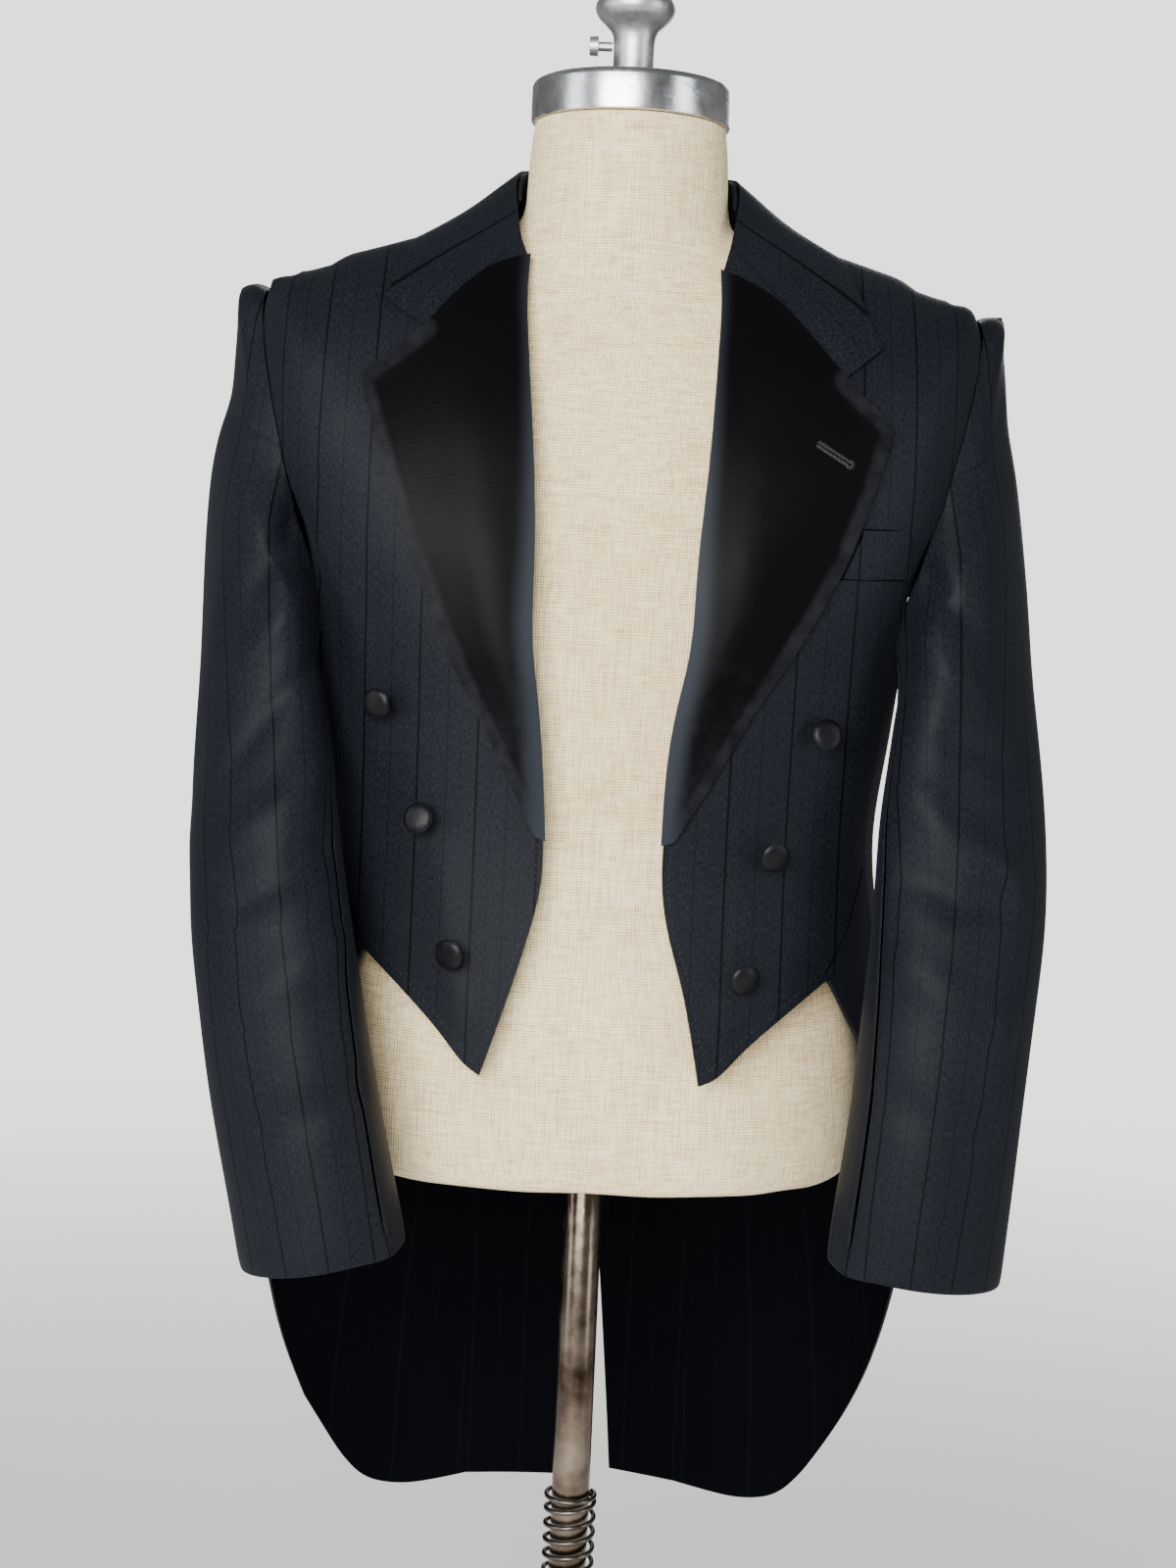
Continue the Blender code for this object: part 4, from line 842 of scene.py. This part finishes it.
def sleeve_fitting(side):
    """Two fittings: ease smooths the head's front before it is subdivided, fit closes the armhole.

    Up at the shoulder, fit takes each point to the nearest point of the body. Below, it draws the
    edge in towards the armhole's seam, which pinches the wall together there.
    """
    seam = np.array(ARMHOLE) * (SIDES[side], 1, 1)
    tree = kdtree.KDTree(sum(len(ob.data.vertices) for ob in bodies[side]))
    number = 0
    for ob in bodies[side]:
        for vert in ob.data.vertices:
            tree.insert(vert.co, number)
            number += 1
    tree.balance()

    def ease(bm):
        verts = list(bm.verts)
        places = np.array([v.co for v in verts])
        down = seam[10::-1]
        edge_x = np.interp(places[:, 2], down[:, 2], np.abs(down[:, 0]))
        edge_y = np.interp(places[:, 2], down[:, 2], down[:, 1])
        limit = edge_y - 0.005 - 0.22 * np.clip(np.abs(places[:, 0]) - edge_x, 0, 0.05)
        over = np.clip(limit - places[:, 1], 0, None) * fade(-places[:, 2], -1.305, -1.245)
        over *= fade(places[:, 2], 1.345, 1.372)
        for vert, back in zip(verts, over):
            vert.co.y += float(back) * 0.85
        far, _ = near_path(places, seam)
        weight = fade(far, 0.035, 0.065) * (1 - fade(far, 0.007, 0.014)) * fade(places[:, 1], -0.035, -0.008)
        weight *= (1 - fade(places[:, 2], 1.245, 1.290)) * fade(places[:, 2], 1.345, 1.375)
        for _ in range(EASE_ROUNDS):
            moved = []
            for vert, share in zip(verts, weight):
                around = [e.other_vert(vert).co for e in vert.link_edges if e.calc_length() > 0.004]
                mean = sum(around, Vector()) / max(len(around), 1)
                moved.append(vert.co.lerp(mean, 0.5 * float(share)) if around else vert.co.copy())
            for vert, place in zip(verts, moved):
                vert.co = place

    def fit(places):
        far, along = near_path(places, seam)
        marks = np.concatenate(([0.0], np.cumsum(np.linalg.norm(np.diff(seam, axis=0), axis=1))))
        foot_of = np.column_stack([np.interp(along * marks[-1], marks, seam[:, i]) for i in range(3)])
        low = fade(places[:, 2], 1.262, 1.285)
        drawn = far + (SEAM_REST + SEAM_KEEP * far - far) * low * fade(far, 0.018, 0.032)
        out = foot_of + (places - foot_of) * (drawn / np.maximum(far, 1e-6))[:, None]
        reach = SNAP_REACH * (1 - fade(places[:, 2], 1.235, 1.270))
        for i in np.nonzero(far < SNAP_BAND)[0]:
            spot, _, gap = tree.find(places[i])
            if SNAP_CLEAR < gap < reach[i]:
                share = float(fade(far[i:i + 1], 0.010, SNAP_BAND)[0])
                out[i] += (np.array(spot) - places[i]) * share * (1 - low[i]) * (1 - SNAP_CLEAR / gap)
        return out

    return ease, fit


for side in SIDES:
    arm_outward, arm_round = about_arm(side)
    head_ease, edge_fit = sleeve_fitting(side)
    for kind in ("top_sleeve", "under_sleeve"):
        dress(kind, side, SLEEVE_FOLDS[side], (16.0, 0.0014, 19.0), arm_round, arm_outward, lining,
              ease=head_ease, fit=edge_fit)

# Lapels: peaked, faced in black satin and pressed back along a soft roll. The satin's edge, over the
# seam allowance under it, is slightly puckered, and its sheen there is painted into the colour as a
# mottled, brighter band. Lower down the satin is painted lighter where light falls on it, and a
# bluish painted highlight runs along the roll.
satin, nodes, link, shader = new_material("black_satin", 0.34, Specular_IOR_Level=0.035)
place = own_place(nodes)
# The edge band lightens the colour in a mottle, a painted sheen on the puckered edge; the same mottle also
# roughens and puckers the satin.
rim = node(nodes, "Attribute", attribute_name="rim")
band = node(nodes, "MapRange", interpolation_type="SMOOTHSTEP", From_Min=0.011, From_Max=0.003)
join(rim, "Fac", band, "Value")
mottle = node(nodes, "TexNoise", Scale=70.0, Detail=4.0, Roughness=0.65)
link(place, mottle.inputs["Vector"])
# Painted light: the satin's colour is lifted towards the foot of each lapel, where more light falls on it.
painted_lower_light = node(nodes, "MapRange", interpolation_type="SMOOTHSTEP", From_Min=1.23, From_Max=1.07,
                To_Max=0.62)
split = node(nodes, "SeparateXYZ")
link(place, split.inputs["Vector"])
join(split, "Z", painted_lower_light, "Value")
lit = node(nodes, "Math", operation="MAXIMUM")
join(band, "Result", lit, 0)
join(painted_lower_light, "Result", lit, 1)
pucker_and_painted_light = node(nodes, "Math", operation="MULTIPLY")
join(lit, "Value", pucker_and_painted_light, 0)
join(mottle, "Fac", pucker_and_painted_light, 1)
satin_tones = ramp(nodes, ((0.18, (0.0022, 0.0021, 0.0025, 1)), (0.70, (0.0115, 0.0120, 0.0150, 1))))
join(pucker_and_painted_light, "Value", satin_tones, "Fac")
# Painted highlight: the satin's colour turns a lighter blue-grey along the roll line, standing in for the light
# the turned satin catches there.
roll = node(nodes, "Attribute", attribute_name="roll")
roll_highlight_share = node(nodes, "MapRange", interpolation_type="SMOOTHERSTEP", From_Min=0.018, From_Max=0.001)
shine = node(nodes, "Mix", data_type="RGBA")
shine.inputs["B"].default_value = (0.020, 0.0235, 0.030, 1)
join(roll, "Fac", roll_highlight_share, "Value")
join(roll_highlight_share, "Result", shine, "Factor")
join(satin_tones, "Color", shine, "A")
join(shine, "Result", shader, "Base Color")
satin_rough = node(nodes, "MapRange", To_Min=0.36, To_Max=0.44)
join(pucker_and_painted_light, "Value", satin_rough, "Value")
join(satin_rough, "Result", shader, "Roughness")
floats = node(nodes, "Mapping", Scale=(160, 160, 1500))
fine = node(nodes, "TexNoise", Scale=1.0, Detail=2.0)
link(place, floats.inputs["Vector"])
join(floats, "Vector", fine, "Vector")
grain_relief = node(nodes, "Bump", Strength=0.22, Distance=0.0004)
join(fine, "Fac", grain_relief, "Height")
pucker_relief = node(nodes, "Bump", Strength=0.5, Distance=0.0012)
join(pucker_and_painted_light, "Value", pucker_relief, "Height")
join(grain_relief, "Normal", pucker_relief, "Normal")
join(pucker_relief, "Normal", shader, "Normal")

LAPEL_RIMS = {        # outer edge of each lapel, notch, tip and down to the foot of the roll
    "right": ((-0.119, 1.344), (-0.157, 1.313), (-0.1416, 1.269), (-0.122, 1.2115), (-0.1045, 1.170),
              (-0.088, 1.135), (-0.063, 1.089), (-0.048, 1.060), (-0.040, 1.043)),
    "left": ((0.1356, 1.323), (0.165, 1.2935), (0.153, 1.251), (0.138, 1.210), (0.122, 1.179),
             (0.1056, 1.150), (0.078, 1.103), (0.057, 1.065), (0.044, 1.042)),
}
lapels = {}
for side in SIDES:
    lapels[side] = dress("lapel", side, (), (26.0, 0.0006, 23.0), round_body, body_outward, None,
                         satin)
    flat = points_of(lapels[side])[:, (0, 2)]
    far, _ = near_path(flat, LAPEL_RIMS[side])
    write_values(lapels[side], "rim", far)
    levels_z = np.linspace(flat[:, 1].min(), flat[:, 1].max(), 60)
    reach = [np.abs(flat[np.abs(flat[:, 1] - z) < 0.006, 0]).min() for z in levels_z]
    # The distance from the roll is pushed out towards the top, so the painted roll highlight narrows and fades
    # higher up.
    upper = np.clip((flat[:, 1] - 1.17) / 0.16, 0, 1)
    write_values(lapels[side], "roll",
                 np.abs(flat[:, 0]) - np.interp(flat[:, 1], levels_z, reach) + 0.008 * upper)

# Buttons: moulds covered in the lapels' satin, gathered behind, on thread shanks. Three stand on
# each forepart, two on each cuff, and one where each tail's pleat starts.
FAR_FROM_EDGE = 0.05       # no edge band and no roll on a button
# The copy keeps the satin's painted lighter colour lower down, which reaches the buttons too.
button_satin = satin.copy()
button_satin.name = "button_satin"
button_satin.node_tree.nodes["Principled BSDF"].inputs["Specular IOR Level"].default_value = 0.13
names = ["button_%s_%d" % (s, i) for s in SIDES for i in (1, 2, 3)]
names += ["cuff_button_%s_%d" % (s, i) for s in SIDES for i in (1, 2)]
names += ["back_button_" + s for s in SIDES]
for node_name in names:
    covered = of_solid(node_name, "satin_" + node_name, 3, 75)
    for label in ("rim", "roll"):
        write_values(covered, label, np.full(len(covered.data.vertices), FAR_FROM_EDGE))
    finish_piece(covered, "satin_" + node_name, button_satin, 60)
    stand_for(node_name)

# Hand sewing: a worked buttonhole in the lapel on the wearer's left, in grey-black silk twist, its
# eyelet at the outer end, and pick stitches just inside the forepart's free edges. All threads stand
# on the cloth that they are sewn through.
twist, nodes, link, shader = new_material("silk_twist", 0.42, Specular_IOR_Level=0.30)
place = own_place(nodes)
strands = node(nodes, "TexNoise", Scale=2600.0, Detail=2.0)
thread_tones = ramp(nodes, ((0.35, (0.0030, 0.0033, 0.0040, 1)), (0.65, (0.030, 0.032, 0.037, 1))))
strand_relief = node(nodes, "Bump", Strength=0.5, Distance=0.0002)
link(place, strands.inputs["Vector"])
join(strands, "Fac", thread_tones, "Fac")
join(thread_tones, "Color", shader, "Base Color")
join(strands, "Fac", strand_relief, "Height")
join(strand_relief, "Normal", shader, "Normal")


def one_stitch(length, thick, arch):
    """One stitch of thread, arched over the cloth, as a mesh that the others copy."""
    bpy.ops.object.select_all(action="DESELECT")
    bpy.ops.mesh.primitive_uv_sphere_add(segments=8, ring_count=8, radius=1.0, rotation=(0, math.pi / 2, 0))
    ob = bpy.context.object
    bpy.ops.object.transform_apply(location=True, rotation=True, scale=True)
    for vert in ob.data.vertices:
        x, y, z = vert.co
        full = (max(0.0, 1 - x * x)) ** -0.30 if abs(x) < 0.98 else 1.0
        vert.co = (x * length / 2, y * thick * full, z * thick * full + arch * (1 - x * x))
    made = ob.data.copy()
    bpy.data.objects.remove(ob)
    return made


def tree_of(ob):
    bm = bmesh.new()
    bm.from_mesh(ob.data)
    tree = BVHTree.FromBMesh(bm)
    bm.free()
    return tree


def sew(name, stitch, rows, tree, sink=0.0, thread=None):
    """Lays copies of a stitch on a piece's face: each row is x, z, and the way it runs in x, z."""
    bm = bmesh.new()
    for x, z, way_x, way_z in rows:
        spot, face_way, _, _ = tree.ray_cast(Vector((x, -0.6, z)), Vector((0, 1, 0)))
        if spot is None:
            continue
        if face_way.y > 0:
            face_way = -face_way
        along = Vector((way_x, 0, way_z))
        along = (along - face_way * along.dot(face_way)).normalized()
        side_way = face_way.cross(along)
        turn = Matrix((along, side_way, face_way)).transposed().to_4x4()
        piece = stitch.copy()
        piece.transform(Matrix.Translation(spot - face_way * sink) @ turn)
        bm.from_mesh(piece)
        bpy.data.meshes.remove(piece)
    mesh = bpy.data.meshes.new(name)
    bm.to_mesh(mesh)
    bm.free()
    ob = bpy.data.objects.new(name, mesh)
    bpy.context.collection.objects.link(ob)
    finish_piece(ob, name, thread or twist, 60)


HOLE_START, HOLE_END = Vector((0.1201, 1.2838)), Vector((0.1391, 1.2725))
hole_way = (HOLE_END - HOLE_START).normalized()
hole_side = Vector((-hole_way.y, hole_way.x))
purl = one_stitch(0.0026, 0.00034, 0.0004)
worked = []
STITCH_COUNT, EYELET_COUNT = 32, 9
for i in range(STITCH_COUNT):
    share = i / (STITCH_COUNT - 1)
    spot = HOLE_START.lerp(HOLE_END, share)
    for turn in (1, -1):
        lean = hole_side * turn + hole_way * (0.22 + 0.12 * math.sin(i * 2.4 + turn))
        middle = spot + hole_side * turn * (0.00125 + 0.00014 * math.sin(i * 1.7))
        worked.append((middle.x, middle.y, lean.x, lean.y))
for i in range(EYELET_COUNT):
    angle = math.radians(-100 + i * 25)
    way = hole_way * math.cos(angle) + hole_side * math.sin(angle)
    middle = HOLE_END + hole_way * 0.0006 + way * 0.0021
    worked.append((middle.x, middle.y, way.x, way.y))
lapel_tree = tree_of(lapels["left"])
# Painted shade: a near-black material for the strip down the buttonhole's slit and for the seam lines below,
# standing in for the shade there.
painted_seam_shade, *_ = new_material("painted_seam_shade", 0.85, Base_Color=(0.0005, 0.0006, 0.0009, 1),
                               Specular_IOR_Level=0.0)
middle = HOLE_START.lerp(HOLE_END, 0.5)
sew("buttonhole_slot_shade", one_stitch(0.0215, 0.00065, 0.0), [(middle.x, middle.y, hole_way.x, hole_way.y)],
    lapel_tree, 0.0002, painted_seam_shade)
sew("buttonhole_left", purl, worked, lapel_tree, 0.00005)

pick = one_stitch(0.0017, 0.00020, 0.00012)
EDGES = {             # the forepart's free edge from the lapel's foot to the cutaway point and up behind it
    "right": ((-0.0385, 1.040), (-0.0385, 1.008), (-0.0450, 0.983), (-0.0550, 0.947), (-0.0655, 0.915),
              (-0.0715, 0.903), (-0.0930, 0.9270), (-0.1170, 0.9500), (-0.1380, 0.968)),
    "left": ((0.0425, 1.040), (0.0420, 1.010), (0.0470, 0.985), (0.0560, 0.960), (0.0640, 0.927),
             (0.0710, 0.903), (0.0930, 0.9230), (0.1210, 0.9460), (0.1400, 0.961)),
}


def stitch_rows(points, pace):
    """Rows for sew along a line of x, z points, one at each pace."""
    edge = [Vector(point) for point in points]
    rows, carried = [], 0.0
    for a, b in zip(edge, edge[1:]):
        way = (b - a).normalized()
        while carried < (b - a).length:
            spot = a + way * carried
            rows.append((spot.x, spot.y, way.x, way.y))
            carried += pace
        carried -= (b - a).length
    return rows


# Painted seam shade: thin near-black strips sunk along the waist dart on each side and along the welt's two long
# edges, standing in for the shade in the seams.
seam_shade_strip = one_stitch(0.0052, 0.00042, 0.0)
DARTS = {
    "right": ((-0.1640, 1.0200), (-0.1550, 0.9880), (-0.1420, 0.9640)),
    "left": ((0.1667, 1.0200), (0.1571, 0.9857), (0.1423, 0.9583)),
}
WELT_EDGES = (((0.1427, 1.2337), (0.1782, 1.2341)), ((0.1306, 1.2031), (0.1821, 1.2042)))
PICK_PACE, SEAM_PACE = 0.0042, 0.0040
for side in SIDES:
    front_tree = tree_of(bodies[side][0])
    sew("pick_stitches_" + side, pick, stitch_rows(EDGES[side], PICK_PACE), front_tree, 0.00008)
    rows = stitch_rows(DARTS[side], SEAM_PACE)
    if side == "left":
        rows += stitch_rows(WELT_EDGES[0], SEAM_PACE) + stitch_rows(WELT_EDGES[1], SEAM_PACE)
    sew("seam_shade_lines_" + side, seam_shade_strip, rows, front_tree, 0.0001, painted_seam_shade)
